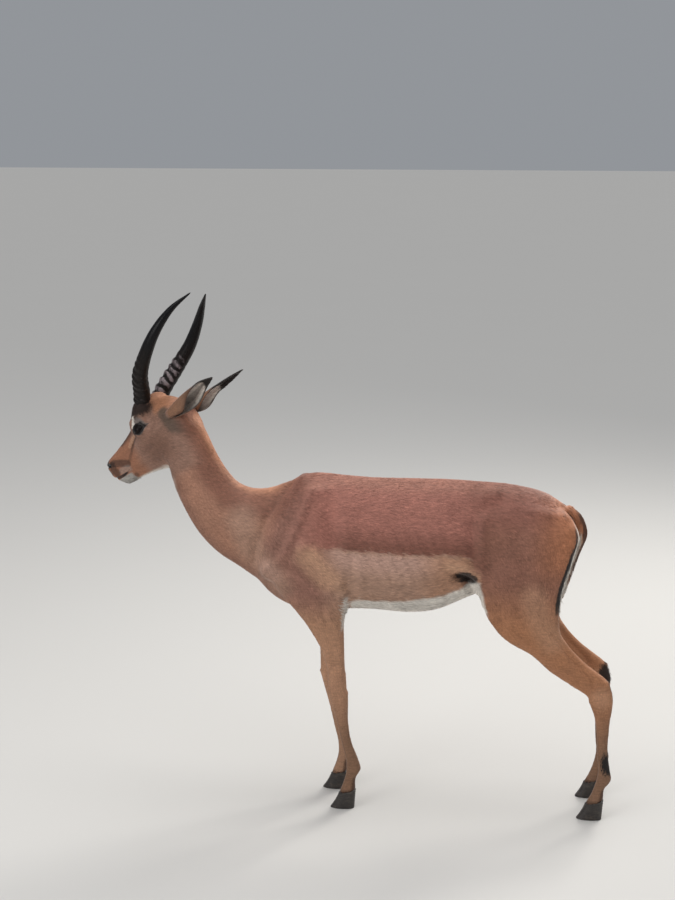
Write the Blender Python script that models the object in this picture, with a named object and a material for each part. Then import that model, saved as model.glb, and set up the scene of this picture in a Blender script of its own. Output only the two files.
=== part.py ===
"""A young male impala, standing still and life size, as separate solid sub-parts.

The animal faces -X, its left side faces -Y and its soles rest on Z = 0. Lengths are metres.
Soft parts are tubes whose ribs run from a front (or top) edge to a back (or bottom) edge.
They are melted into one body, smoothed, thinned and then parted with thin plane cuts.
"""

import math

import bmesh
import bpy
import numpy as np
from mathutils import Vector

# ---- driving dimensions -------------------------------------------------------------------

GAP = 0.0003  # clearance between neighbouring sub-parts

BODY_VOXEL = 0.0095
HEAD_VOXEL = 0.0045
BODY_TRIANGLES = 3900
HEAD_TRIANGLES = 1550

# Each rib of a soft part: front or top edge (x, z), back or bottom edge (x, z),
# sideways place of its middle and half its width.
TRUNK_RIBS = [
    (-0.210, 0.775, -0.232, 0.665, 0.000, 0.045),
    (-0.172, 0.826, -0.195, 0.580, 0.000, 0.070),
    (-0.125, 0.862, -0.135, 0.534, 0.000, 0.084),
    (-0.075, 0.885, -0.078, 0.508, 0.000, 0.092),
    (0.000, 0.883, 0.000, 0.503, 0.000, 0.099),
    (0.090, 0.876, 0.090, 0.514, 0.000, 0.105),
    (0.180, 0.876, 0.180, 0.519, 0.000, 0.109),
    (0.270, 0.876, 0.258, 0.530, 0.000, 0.108),
    (0.360, 0.873, 0.333, 0.564, 0.000, 0.100),
    (0.450, 0.866, 0.420, 0.598, 0.000, 0.095),
    (0.530, 0.848, 0.500, 0.610, 0.000, 0.086),
    (0.588, 0.812, 0.565, 0.640, 0.000, 0.066),
    (0.618, 0.768, 0.600, 0.690, 0.000, 0.036),
]
NECK_RIBS = [
    (-0.090, 0.872, -0.130, 0.560, 0.000, 0.085),
    (-0.140, 0.855, -0.200, 0.592, 0.000, 0.077),
    (-0.180, 0.841, -0.262, 0.632, 0.000, 0.066),
    (-0.222, 0.840, -0.315, 0.665, 0.002, 0.058),
    (-0.262, 0.857, -0.362, 0.712, 0.006, 0.052),
    (-0.296, 0.897, -0.400, 0.772, 0.012, 0.048),
    (-0.324, 0.945, -0.430, 0.836, 0.020, 0.045),
    (-0.348, 0.992, -0.441, 0.885, 0.028, 0.044),
    (-0.370, 1.022, -0.440, 0.935, 0.034, 0.040),
]
FORELEG_RIBS = [
    (-0.085, 0.855, -0.015, 0.865, 0.045, 0.020),
    (-0.145, 0.775, 0.005, 0.790, 0.060, 0.031),
    (-0.178, 0.690, 0.020, 0.700, 0.069, 0.036),
    (-0.182, 0.635, 0.032, 0.640, 0.073, 0.036),
    (-0.150, 0.585, 0.040, 0.598, 0.075, 0.034),
    (-0.105, 0.535, 0.034, 0.550, 0.076, 0.031),
    (-0.066, 0.485, 0.029, 0.492, 0.075, 0.029),
    (-0.036, 0.430, 0.030, 0.434, 0.073, 0.025),
    (-0.023, 0.375, 0.032, 0.378, 0.071, 0.021),
    (-0.022, 0.330, 0.036, 0.322, 0.070, 0.020),
    (-0.009, 0.285, 0.036, 0.283, 0.069, 0.0175),
    (0.003, 0.240, 0.036, 0.243, 0.068, 0.0125),
    (0.018, 0.175, 0.045, 0.181, 0.067, 0.0112),
    (0.029, 0.125, 0.062, 0.135, 0.066, 0.0132),
    (0.029, 0.098, 0.069, 0.108, 0.066, 0.0160),
    (0.021, 0.068, 0.056, 0.083, 0.066, 0.0142),
    (0.010, 0.040, 0.055, 0.050, 0.066, 0.0180),
]
HINDLEG_RIBS = [
    (0.430, 0.835, 0.590, 0.805, 0.040, 0.030),
    (0.385, 0.760, 0.624, 0.745, 0.052, 0.041),
    (0.366, 0.690, 0.609, 0.685, 0.059, 0.044),
    (0.362, 0.625, 0.590, 0.630, 0.063, 0.045),
    (0.374, 0.560, 0.580, 0.590, 0.066, 0.044),
    (0.398, 0.510, 0.577, 0.555, 0.069, 0.042),
    (0.442, 0.466, 0.575, 0.523, 0.071, 0.038),
    (0.500, 0.436, 0.578, 0.498, 0.072, 0.033),
    (0.545, 0.394, 0.606, 0.460, 0.073, 0.027),
    (0.600, 0.357, 0.650, 0.418, 0.074, 0.022),
    (0.649, 0.322, 0.700, 0.378, 0.075, 0.0195),
    (0.664, 0.285, 0.7135, 0.335, 0.075, 0.0175),
    (0.673, 0.235, 0.707, 0.250, 0.075, 0.0125),
    (0.677, 0.170, 0.706, 0.178, 0.074, 0.0115),
    (0.680, 0.125, 0.712, 0.135, 0.073, 0.0135),
    (0.675, 0.098, 0.716, 0.108, 0.073, 0.0162),
    (0.664, 0.066, 0.699, 0.082, 0.073, 0.0145),
    (0.650, 0.040, 0.697, 0.051, 0.073, 0.0185),
]
TAIL_RIBS = [
    (0.592, 0.818, 0.580, 0.792, 0.000, 0.016),
    (0.625, 0.790, 0.606, 0.772, 0.000, 0.016),
    (0.642, 0.745, 0.617, 0.740, 0.000, 0.017),
    (0.636, 0.700, 0.610, 0.692, 0.000, 0.018),
    (0.620, 0.655, 0.595, 0.643, 0.000, 0.018),
    (0.603, 0.610, 0.580, 0.598, 0.000, 0.015),
    (0.585, 0.568, 0.572, 0.560, 0.000, 0.007),
]
# Each rib of the head: distance along the face axis, height of the top, height of the bottom,
# half width, all in the head's own frame.
HEAD_RIBS = [
    (-0.035, 0.030, -0.040, 0.030),
    (-0.015, 0.064, -0.075, 0.040),
    (0.015, 0.087, -0.096, 0.047),
    (0.050, 0.098, -0.102, 0.050),
    (0.080, 0.097, -0.093, 0.050),
    (0.110, 0.088, -0.082, 0.047),
    (0.140, 0.072, -0.075, 0.040),
    (0.170, 0.056, -0.070, 0.033),
    (0.200, 0.044, -0.067, 0.0285),
    (0.230, 0.034, -0.065, 0.0258),
    (0.252, 0.0285, -0.062, 0.0245),
    (0.270, 0.0235, -0.050, 0.0220),
    (0.284, 0.0190, -0.028, 0.0165),
    (0.290, 0.0130, -0.006, 0.0090),
]
HEAD_ROOT = (-0.400, 0.035)  # plan position of the nape end of the head
HEAD_YAW = math.radians(24)  # the face turns towards the animal's right
HEAD_PITCH = math.radians(31)  # the face axis points down by this
HEAD_HEIGHT = 1.000  # height of the face axis at the nape end
CROWN_PINCH = 0.16  # how much narrower the head gets towards its top
JAW_PINCH = 0.30

ORBIT = (0.105, 0.040, 0.043)  # along the face axis, sideways, up: middle of the eye socket bulge
ORBIT_RADII = (0.030, 0.0215, 0.030)
EYE = (0.107, 0.0455, 0.0390)
EYE_RADIUS = 0.0175
CHEEK = (0.045, 0.030, -0.040)
CHEEK_RADII = (0.050, 0.021, 0.045)
CROWN = (0.056, 0.000, 0.088)
CROWN_RADII = (0.034, 0.036, 0.024)

# Forward, sideways and height of points along a horn's middle line, with its radius there.
HORN_PATH = [
    (0.117, 0.028, 1.020, 0.0210),
    (0.100, 0.043, 1.070, 0.0212),
    (0.077, 0.078, 1.130, 0.0198),
    (0.046, 0.096, 1.190, 0.0172),
    (0.017, 0.093, 1.250, 0.0134),
    (-0.015, 0.071, 1.305, 0.0082),
    (-0.049, 0.038, 1.344, 0.0022),
]
EAR_ROOT = (0.012, 0.040, 1.026)  # forward, sideways, height
EAR_TIP = (-0.134, 0.070, 1.141)
EAR_HALF_WIDTH = 0.027
EAR_THICKNESS = 0.0042
EAR_ROOT_BEND = math.radians(150)  # how far each side of the leaf curls round at the root
EAR_TIP_BEND = math.radians(55)
EAR_SOCKET_REACH = 0.080
EAR_FACING = {"left": (-0.25, 0.75, -0.50), "right": (-0.50, -0.50, -0.62)}  # sideways is outwards

FAR_FORELEG_STEP = -0.034  # the right foreleg stands a little ahead of the left one
HOOF_TOE = 0.022  # how far the sole reaches in front of the hairline
HOOF_CLEFT = 0.0026
FORE_SPLIT = 10  # rib just below the knee, where the shank begins
HIND_SPLIT = 11  # rib just below the hock

# Planes that part the melted body: a point (x, z) and the way out of the kept side (x, z).
NECK_CUT = ((-0.205, 0.730), (-0.930, 0.368))
HEAD_CUT = ((-0.391, 0.930), (-0.788, 0.616))
FORE_CUT = ((0.000, 0.497), (0.000, -1.000))
HIND_CUT = ((0.340, 0.540), (0.224, -0.975))

COAT_BACK = (0.42, 0.20, 0.13, 1.0)
COAT_FLANK = (0.62, 0.42, 0.30, 1.0)
COAT_LEG = (0.55, 0.33, 0.22, 1.0)
HORN_BLACK = (0.05, 0.04, 0.04, 1.0)
HOOF_BLACK = (0.03, 0.025, 0.022, 1.0)
EYE_BLACK = (0.012, 0.009, 0.008, 1.0)
SIDES = {"left": -1.0, "right": 1.0}


# ---- curves and frames --------------------------------------------------------------------

def smooth_rows(rows, count):
    """Read a smooth curve through table rows, at even steps of the distance walked."""
    rows = np.asarray(rows, dtype=float)
    steps = np.linalg.norm(np.diff(rows, axis=0), axis=1)
    walked = np.concatenate([[0.0], np.cumsum(steps)])
    slopes = np.gradient(rows, walked, axis=0)
    wanted = np.linspace(0.0, walked[-1], count)
    k = np.clip(np.searchsorted(walked, wanted, side="right") - 1, 0, len(rows) - 2)
    span = (walked[k + 1] - walked[k])[:, None]
    t = ((wanted - walked[k])[:, None]) / span
    start = rows[k] * (2 * t**3 - 3 * t**2 + 1) + slopes[k] * span * (t**3 - 2 * t**2 + t)
    return start + rows[k + 1] * (3 * t**2 - 2 * t**3) + slopes[k + 1] * span * (t**3 - t**2)


def head_level(forward, sideways, height):
    """Place of a point given forward of the nape, to the animal's right, and above the floor."""
    ahead = Vector((-math.cos(HEAD_YAW), math.sin(HEAD_YAW), 0.0))
    right = Vector((math.sin(HEAD_YAW), math.cos(HEAD_YAW), 0.0))
    root = Vector((HEAD_ROOT[0], HEAD_ROOT[1], 0.0))
    return root + ahead * forward + right * sideways + Vector((0.0, 0.0, height))


def head_tilted(along, sideways, up):
    """Place of a point given along the face axis, to the right, and square to both."""
    forward = along * math.cos(HEAD_PITCH) + up * math.sin(HEAD_PITCH)
    height = HEAD_HEIGHT - along * math.sin(HEAD_PITCH) + up * math.cos(HEAD_PITCH)
    return head_level(forward, sideways, height)


# ---- mesh helpers -------------------------------------------------------------------------

def tube_from_rings(rings):
    """Close a list of equal rings of points into one solid with flat ends."""
    bm = bmesh.new()
    loops = [[bm.verts.new(point) for point in ring] for ring in rings]
    for one, two in zip(loops, loops[1:]):
        for i in range(len(one)):
            j = (i + 1) % len(one)
            bm.faces.new((one[i], one[j], two[j], two[i]))
    bm.faces.new(list(reversed(loops[0])))
    bm.faces.new(loops[-1])
    bm.normal_update()
    bmesh.ops.recalc_face_normals(bm, faces=bm.faces)
    return bm


def oval(angle, power):
    """Sideways and lengthways reach of a rounded-square section at an angle, each -1 to 1."""
    c = math.cos(angle)
    s = math.sin(angle)
    return math.copysign(abs(c) ** (2 / power), c), math.copysign(abs(s) ** (2 / power), s)


def rib_rings(rows, sides, power=2.2, low=0.5, pinch=0.0):
    """Rings whose ribs run from edge to edge, widest a share `low` of the way up from the back."""
    rings = []
    for ax, az, bx, bz, y, half in rows:
        ring = []
        for i in range(sides):
            across, along = oval(2 * math.pi * i / sides, power)
            share = low + along * (1 - low) if along > 0 else low + along * low
            narrow = 1 - pinch * max(0.0, along) ** 2
            ring.append((bx + share * (ax - bx), y + half * across * narrow, bz + share * (az - bz)))
        rings.append(ring)
    return rings


def ribbed(rows, count, sides, **shape):
    return tube_from_rings(rib_rings(smooth_rows(rows, count), sides, **shape))


def head_tube(count, sides):
    rings = []
    for along, top, bottom, half in smooth_rows(HEAD_RIBS, count):
        ring = []
        for i in range(sides):
            across, up = oval(2 * math.pi * i / sides, 2.25)
            height = (top + bottom) / 2 + up * (top - bottom) / 2
            narrow = 1 - CROWN_PINCH * max(0.0, up) ** 2 - JAW_PINCH * max(0.0, -up) ** 2
            ring.append(head_tilted(along, half * across * narrow, height))
        rings.append(ring)
    return tube_from_rings(rings)


def head_ball(centre, radii, side, rings=12):
    """An egg-shaped bulge of the head, given in the head's own frame."""
    bm = bmesh.new()
    bmesh.ops.create_uvsphere(bm, u_segments=2 * rings, v_segments=rings, radius=1.0)
    for vert in bm.verts:
        place = [c + r * p for c, r, p in zip(centre, radii, vert.co)]
        vert.co = head_tilted(place[0], side * place[1], place[2])
    bm.normal_update()
    bmesh.ops.recalc_face_normals(bm, faces=bm.faces)
    return bm


def mirrored(rows, side, step=0.0):
    """Rows of a leg on one side; `step` slides it forwards, more and more below the elbow."""
    out = []
    for ax, az, bx, bz, y, half in rows:
        slide = step * min(1.0, max(0.0, (0.60 - (az + bz) / 2) / 0.22))
        out.append((ax + slide, az, bx + slide, bz, side * y, half))
    return out


def to_object(name, bm):
    mesh = bpy.data.meshes.new(name)
    bm.to_mesh(mesh)
    bm.free()
    obj = bpy.data.objects.new(name, mesh)
    bpy.context.scene.collection.objects.link(obj)
    return obj


def applied(obj):
    """Mesh of an object with its modifiers, replacing the one it had."""
    graph = bpy.context.evaluated_depsgraph_get()
    mesh = bpy.data.meshes.new_from_object(obj.evaluated_get(graph))
    obj.modifiers.clear()
    obj.data = mesh
    return obj


def melt(name, lumps, voxel, passes, triangles):
    """Join overlapping closed lumps into one smooth skin of about so many triangles."""
    joined = bmesh.new()
    for lump in lumps:
        mesh = bpy.data.meshes.new("lump")
        lump.to_mesh(mesh)
        lump.free()
        joined.from_mesh(mesh)
        bpy.data.meshes.remove(mesh)
    obj = to_object(name, joined)
    remesh = obj.modifiers.new("melt", "REMESH")
    remesh.mode = "VOXEL"
    remesh.voxel_size = voxel
    relax = obj.modifiers.new("relax", "SMOOTH")
    relax.factor = 0.5
    relax.iterations = passes
    applied(obj)
    thin = obj.modifiers.new("thin", "DECIMATE")
    thin.ratio = triangles / sum(len(face.vertices) - 2 for face in obj.data.polygons)
    return applied(obj)


def cut(source, name, planes):
    """Copy a closed mesh and keep what lies behind every plane, with flat capped cuts."""
    bm = bmesh.new()
    bm.from_mesh(source.data)
    for point, normal in planes:
        geometry = bm.verts[:] + bm.edges[:] + bm.faces[:]
        found = bmesh.ops.bisect_plane(
            bm, geom=geometry, dist=1e-6, plane_co=point, plane_no=normal, clear_outer=True
        )
        rim = [e for e in found["geom_cut"] if isinstance(e, bmesh.types.BMEdge) and e.is_boundary]
        if rim:
            bmesh.ops.holes_fill(bm, edges=rim, sides=0)
    bmesh.ops.triangulate(bm, faces=bm.faces)
    bmesh.ops.dissolve_degenerate(bm, dist=1e-5, edges=bm.edges)
    bm.normal_update()
    bmesh.ops.recalc_face_normals(bm, faces=bm.faces)
    return to_object(name, bm)


def upright_plane(cut_xz, inwards=False):
    """A plane across the animal, from a named cut, moved back by half the gap."""
    (x, z), (nx, nz) = cut_xz
    normal = Vector((nx, 0.0, nz)).normalized()
    if inwards:
        normal.negate()
    return Vector((x, 0.0, z)) - normal * GAP / 2, normal


def rib_plane(row):
    """The plane of a leg's rib, facing down the leg and moved back by half the gap."""
    ax, az, bx, bz, y, _ = row
    normal = Vector((bz - az, 0.0, ax - bx)).normalized()
    if normal.z > 0:
        normal.negate()
    return Vector(((ax + bx) / 2, y, (az + bz) / 2)) - normal * GAP / 2, normal


def hull_near(mesh, reach):
    """Convex hull of a mesh's points that lie close to its first one."""
    bm = bmesh.new()
    start = mesh.vertices[0].co
    for vert in mesh.vertices:
        if (vert.co - start).length < reach:
            bm.verts.new(vert.co)
    hull = bmesh.ops.convex_hull(bm, input=bm.verts)
    inside = [item for item in hull["geom_interior"] if isinstance(item, bmesh.types.BMVert)]
    bmesh.ops.delete(bm, geom=inside, context="VERTS")
    return bm


def carve(target, tool, reach=None):
    """Cut a socket in the target, wider than the tool all round, or than its hull near the root."""
    if reach:
        bm = hull_near(tool.data, reach)
    else:
        bm = bmesh.new()
        bm.from_mesh(tool.data)
    bm.normal_update()
    bmesh.ops.recalc_face_normals(bm, faces=bm.faces)
    bm.normal_update()
    for vert in bm.verts:
        vert.co += vert.normal * GAP * 2 * min(vert.calc_shell_factor(), 3.0)
    cutter = to_object("socket", bm)
    socket = target.modifiers.new("socket", "BOOLEAN")
    socket.operation = "DIFFERENCE"
    socket.object = cutter
    applied(target)
    bpy.data.objects.remove(cutter)


def finish(obj, colour, roughness):
    """Give the sub-part its own material and shade it smooth."""
    material = bpy.data.materials.new(obj.name + "_finish")
    material.use_nodes = True
    shader = material.node_tree.nodes["Principled BSDF"]
    shader.inputs["Base Color"].default_value = colour
    shader.inputs["Roughness"].default_value = roughness
    shader.inputs["Metallic"].default_value = 0.0
    obj.data.materials.clear()
    obj.data.materials.append(material)
    obj.data.shade_smooth()


def centre_on_footprint(pieces):
    """Slide all sub-parts so that the middle of their common box lies over the origin."""
    points = [vert.co for piece in pieces for vert in piece.data.vertices]
    middle_x = (min(p.x for p in points) + max(p.x for p in points)) / 2
    middle_y = (min(p.y for p in points) + max(p.y for p in points)) / 2
    for piece in pieces:
        piece.location = (-middle_x, -middle_y, 0.0)


# ---- sub-parts ----------------------------------------------------------------------------

def make_horn(name, side):
    rows = smooth_rows(HORN_PATH, 18)
    places = [head_level(f, side * s, h) for f, s, h, _ in rows]
    rings = []
    sides = 10
    for k, place in enumerate(places):
        before = places[max(k - 1, 0)]
        after = places[min(k + 1, len(places) - 1)]
        along = (after - before).normalized()
        across = along.cross(Vector((0.0, 1.0, 0.0))).normalized()
        other = along.cross(across)
        ring = []
        for i in range(sides):
            turn = 2 * math.pi * i / sides
            ring.append(place + (across * math.cos(turn) + other * math.sin(turn)) * rows[k][3])
        rings.append(ring)
    return to_object(name, tube_from_rings(rings))


def make_ear(name, side):
    """A leaf from root to tip, bent across into a cup and given one thickness."""
    facing = EAR_FACING["left" if side < 0 else "right"]
    root = head_level(EAR_ROOT[0], side * EAR_ROOT[1], EAR_ROOT[2])
    tip = head_level(EAR_TIP[0], side * EAR_TIP[1], EAR_TIP[2])
    level = head_level(0.0, 0.0, 0.0)
    mouth = head_level(facing[0], side * facing[1], facing[2]) - level
    axis = (tip - root).normalized()
    mouth = (mouth - axis * mouth.dot(axis)).normalized()
    across = axis.cross(mouth)
    length = (tip - root).length
    rings = []
    spans = 8
    steps = 11
    for k in range(steps):
        t = k / (steps - 1)
        half = EAR_HALF_WIDTH * (0.50 + 1.55 * t**0.8 * (1 - t) ** 0.75) * (1 - t**3.5) + 0.0012
        bend = EAR_ROOT_BEND + (EAR_TIP_BEND - EAR_ROOT_BEND) * t**0.6
        radius = half / math.sin(min(bend, math.pi / 2) * 0.98)
        wall = EAR_THICKNESS * (1 - 0.45 * t)
        middle = root + axis * (length * t) - mouth * (radius * 0.75)
        outer = []
        inner = []
        for i in range(spans + 1):
            turn = bend * (2 * i / spans - 1)
            ray = across * math.sin(turn) - mouth * math.cos(turn)
            taper = 1 - 0.6 * abs(2 * i / spans - 1) ** 4
            centre = middle + mouth * radius
            outer.append(centre + ray * radius)
            inner.append(centre + ray * max(radius - wall * taper, radius * 0.35))
        rings.append(outer + inner[::-1])
    return to_object(name, tube_from_rings(rings))


def make_eye(name, side):
    radii = (EYE_RADIUS, EYE_RADIUS, EYE_RADIUS)
    return to_object(name, head_ball(EYE, radii, side, rings=7))


def make_claw(name, row, side, inner):
    """One toe of a cloven hoof, between a flat sole and the sloping hairline of the leg."""
    ax, az, bx, bz, y, half = row
    drop = (bz - az) / (bx - ax)
    outline = []
    points = 8
    for i in range(points + 1):
        turn = math.pi * i / points
        outline.append(((1 - math.cos(turn)) / 2, math.sin(turn) ** 0.8 * (1 - 0.25 * i / points)))
    outwards = -side if inner else side
    rings = []
    levels = 4
    for k in range(levels):
        f = k / (levels - 1)
        toe = ax - HOOF_TOE * (1 - f) ** 1.2
        heel = bx - 0.004 * (1 - f)
        wide = (half + 0.001 * (1 - f)) - HOOF_CLEFT / 2
        ring = []
        for back, out in outline:
            x = heel + (toe - heel) * back
            top = az + (x - ax) * drop - GAP
            ring.append((x, y + outwards * (HOOF_CLEFT / 2 + wide * out), f * top))
        rings.append(ring)
    return to_object(name, tube_from_rings(rings))


def make_lower_leg(name, rows, first):
    """Shank, fetlock and pastern, from the parted joint down to the hairline of the hoof."""
    smooth = smooth_rows(rows[first:], 15)
    rings = rib_rings(smooth, 12)
    drop = (Vector(rings[1][0]) - Vector(rings[0][0])).normalized() * GAP
    rings[0] = [tuple(Vector(point) + drop) for point in rings[0]]
    return to_object(name, tube_from_rings(rings))


def head_lumps():
    lumps = [head_tube(30, 24), head_ball(CROWN, CROWN_RADII, 1.0)]
    for side in SIDES.values():
        lumps.append(head_ball(ORBIT, ORBIT_RADII, side))
        lumps.append(head_ball(CHEEK, CHEEK_RADII, side))
    return lumps


# ---- assembly -----------------------------------------------------------------------------

for old in list(bpy.data.objects):
    bpy.data.objects.remove(old)

fore = {
    "left": mirrored(FORELEG_RIBS, SIDES["left"]),
    "right": mirrored(FORELEG_RIBS, SIDES["right"], FAR_FORELEG_STEP),
}
hind = {s: mirrored(HINDLEG_RIBS, d) for s, d in SIDES.items()}

lumps = [ribbed(TRUNK_RIBS, 48, 32, low=0.42, pinch=0.22), ribbed(NECK_RIBS, 30, 24, power=2.1)]
for s in SIDES:
    lumps.append(ribbed(fore[s][:13], 44, 20))
    lumps.append(ribbed(hind[s][:14], 52, 20))
body = melt("melted_body", lumps + head_lumps(), BODY_VOXEL, 14, BODY_TRIANGLES)
crown = melt(
    "melted_head", head_lumps() + [ribbed(NECK_RIBS, 30, 24, power=2.1)], HEAD_VOXEL, 10, HEAD_TRIANGLES
)

head = cut(crown, "head", [upright_plane(HEAD_CUT, inwards=True)])
neck = cut(body, "neck", [upright_plane(HEAD_CUT), upright_plane(NECK_CUT, inwards=True)])
trunk = cut(body, "trunk", [upright_plane(NECK_CUT), upright_plane(FORE_CUT), upright_plane(HIND_CUT)])
tail = to_object("tail", ribbed(TAIL_RIBS, 12, 10, power=2.0))
coat = [head, neck, trunk, tail]
horns = []
eyes = []
hooves = []
legs = []
for s, d in SIDES.items():
    centre_plane = (Vector((0.0, d * GAP / 2, 0.0)), Vector((0.0, -d, 0.0)))
    waist = (Vector((0.2, 0.0, 0.0)), Vector((1.0, 0.0, 0.0)))
    loin = (Vector((0.2, 0.0, 0.0)), Vector((-1.0, 0.0, 0.0)))
    fore_joint = rib_plane(fore[s][FORE_SPLIT])
    hind_joint = rib_plane(hind[s][HIND_SPLIT])
    fore_top = upright_plane(FORE_CUT, inwards=True)
    hind_top = upright_plane(HIND_CUT, inwards=True)
    legs.append(cut(body, "foreleg_upper_" + s, [centre_plane, waist, fore_top, fore_joint]))
    legs.append(cut(body, "hindleg_upper_" + s, [centre_plane, loin, hind_top, hind_joint]))
    legs.append(make_lower_leg("foreleg_lower_" + s, fore[s], FORE_SPLIT))
    legs.append(make_lower_leg("hindleg_lower_" + s, hind[s], HIND_SPLIT))
    for limb, rows in (("fore", fore[s]), ("hind", hind[s])):
        for toe in ("inner", "outer"):
            hooves.append(make_claw(f"{limb}hoof_{toe}_{s}", rows[-1], d, toe == "inner"))
    ear = make_ear("ear_" + s, d)
    horn = make_horn("horn_" + s, d)
    eye = make_eye("eye_" + s, d)
    carve(head, ear, reach=EAR_SOCKET_REACH)
    carve(head, horn)
    carve(head, eye)
    coat.append(ear)
    horns.append(horn)
    eyes.append(eye)
carve(trunk, tail)
for s in SIDES:
    carve(bpy.data.objects["hindleg_upper_" + s], tail)
bpy.data.objects.remove(body)
bpy.data.objects.remove(crown)

for piece in coat:
    finish(piece, COAT_BACK, 0.75)
for piece in legs:
    finish(piece, COAT_LEG, 0.75)
for piece in horns:
    finish(piece, HORN_BLACK, 0.45)
for piece in eyes:
    finish(piece, EYE_BLACK, 0.12)
for piece in hooves:
    finish(piece, HOOF_BLACK, 0.5)
centre_on_footprint(coat + legs + horns + eyes + hooves)
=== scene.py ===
import math

import bmesh
import bpy
import numpy as np
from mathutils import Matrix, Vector


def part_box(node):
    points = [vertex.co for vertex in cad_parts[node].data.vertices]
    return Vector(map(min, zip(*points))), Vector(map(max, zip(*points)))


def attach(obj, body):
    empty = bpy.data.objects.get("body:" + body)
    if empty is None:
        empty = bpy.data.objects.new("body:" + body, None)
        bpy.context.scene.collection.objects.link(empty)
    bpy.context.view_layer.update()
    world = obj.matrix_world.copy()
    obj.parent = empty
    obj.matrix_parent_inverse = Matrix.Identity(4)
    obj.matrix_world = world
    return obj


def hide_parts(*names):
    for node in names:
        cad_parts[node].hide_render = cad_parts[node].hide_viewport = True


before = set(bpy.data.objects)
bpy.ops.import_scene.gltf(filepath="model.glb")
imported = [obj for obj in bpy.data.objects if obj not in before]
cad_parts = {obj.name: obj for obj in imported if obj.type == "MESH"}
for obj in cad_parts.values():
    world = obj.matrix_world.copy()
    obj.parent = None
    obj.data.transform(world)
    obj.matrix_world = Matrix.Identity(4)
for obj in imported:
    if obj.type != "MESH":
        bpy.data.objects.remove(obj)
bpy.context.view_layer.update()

print("frame loaded:", len(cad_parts), "nodes")


# ---- the animal's own frame ----
# All shapes are worked out in the animal's frame: it faces -X, its left side is -Y, the floor is z = 0.
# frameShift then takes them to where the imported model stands.

headPose = {
    "napeX": -0.4,
    "napeY": 0.035,
    "napeHeight": 1.0,
    "yaw": math.radians(24),  # the face turns towards the animal's right
    "pitch": math.radians(31),  # the face axis points down
}
eyeBall = {"along": 0.107, "sideways": 0.0455, "up": 0.039, "radius": 0.0175}
sides = {"left": -1.0, "right": 1.0}


def vectors(x, y, z):
    # points or directions from their three parts, numbers or arrays
    x, y, z = np.broadcast_arrays(np.asarray(x, float), np.asarray(y, float), np.asarray(z, float))
    return np.stack([x, y, z], axis=-1)


def unit(v):
    return v / np.maximum(np.linalg.norm(v, axis=-1, keepdims=True), 1e-9)


def headLevel(forward, sideways, height):
    # a point given forward of the nape, to the animal's right, and above the floor
    c, s = math.cos(headPose["yaw"]), math.sin(headPose["yaw"])
    x = headPose["napeX"] - c * forward + s * sideways
    return vectors(x, headPose["napeY"] + s * forward + c * sideways, height)


def headTilted(along, sideways, up):
    # a point given along the face axis, to the right, and square to both
    c, s = math.cos(headPose["pitch"]), math.sin(headPose["pitch"])
    return headLevel(along * c + up * s, sideways, headPose["napeHeight"] - along * s + up * c)


def toHead(points):
    # the way back: along, sideways and up of any points
    c, s = math.cos(headPose["yaw"]), math.sin(headPose["yaw"])
    dx = points[..., 0] - headPose["napeX"]
    dy = points[..., 1] - headPose["napeY"]
    forward = dy * s - dx * c
    sideways = dx * s + dy * c
    c, s = math.cos(headPose["pitch"]), math.sin(headPose["pitch"])
    rise = points[..., 2] - headPose["napeHeight"]
    return forward * c - rise * s, sideways, forward * s + rise * c


low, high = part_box("eye_left")
packedEye = np.array((low + high) / 2)
frameShift = packedEye - headTilted(eyeBall["along"], -eyeBall["sideways"], eyeBall["up"])


# ---- curves and masks ----

def walkedAlong(path):
    # distance walked from the first point to each of them
    return np.concatenate([[0.0], np.cumsum(np.linalg.norm(np.diff(path, axis=0), axis=1))])


def fullTurn(count):
    # angles once round, the last one short of the first
    return np.arange(count) * 2 * math.pi / count


def smoothRows(rows, count):
    # cubic through the rows, slopes from the neighbours, read at even steps of the distance walked
    rows = np.asarray(rows, float)
    walked = walkedAlong(rows)
    slopes = np.gradient(rows, walked, axis=0)
    wanted = np.linspace(0.0, walked[-1], count)
    k = np.clip(np.searchsorted(walked, wanted, side="right") - 1, 0, len(rows) - 2)
    span = (walked[k + 1] - walked[k])[:, None]
    t = (wanted - walked[k])[:, None] / span
    start = rows[k] * (2 * t**3 - 3 * t**2 + 1) + slopes[k] * span * (t**3 - 2 * t**2 + t)
    return start + rows[k + 1] * (3 * t**2 - 2 * t**3) + slopes[k + 1] * span * (t**3 - t**2)


def fade(value, start, end):
    # 0 before start, 1 after end, smooth between; start may be the larger
    t = np.clip((value - start) / (end - start), 0.0, 1.0)
    return t * t * (3 - 2 * t)


def band(value, start, end, edge):
    # 1 between start and end, fading within the edge at both
    return fade(value, start, start + edge) * fade(value, end, end - edge)


def hump(distance, width):
    # 1 on the line, falling off like a bell
    return np.exp(-((distance / width) ** 2))


def pathPlace(points, path):
    # distance to a polyline and how far along it (0 to 1), for points of any dimension
    path = np.asarray(path, float)
    a, b = path[:-1], path[1:]
    step = b - a
    size = np.maximum((step**2).sum(1), 1e-12)
    t = np.clip(((points[:, None, :] - a) * step).sum(2) / size, 0.0, 1.0)
    gap = np.linalg.norm(points[:, None, :] - (a + t[..., None] * step), axis=2)
    k = gap.argmin(1)
    rows = np.arange(len(points))
    walked = np.concatenate([[0.0], np.cumsum(np.sqrt(size))])
    along = (walked[k] + t[rows, k] * np.sqrt(size)[k]) / walked[-1]
    return gap[rows, k], along


def gapTo(points, path):
    return pathPlace(points, path)[0]


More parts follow.
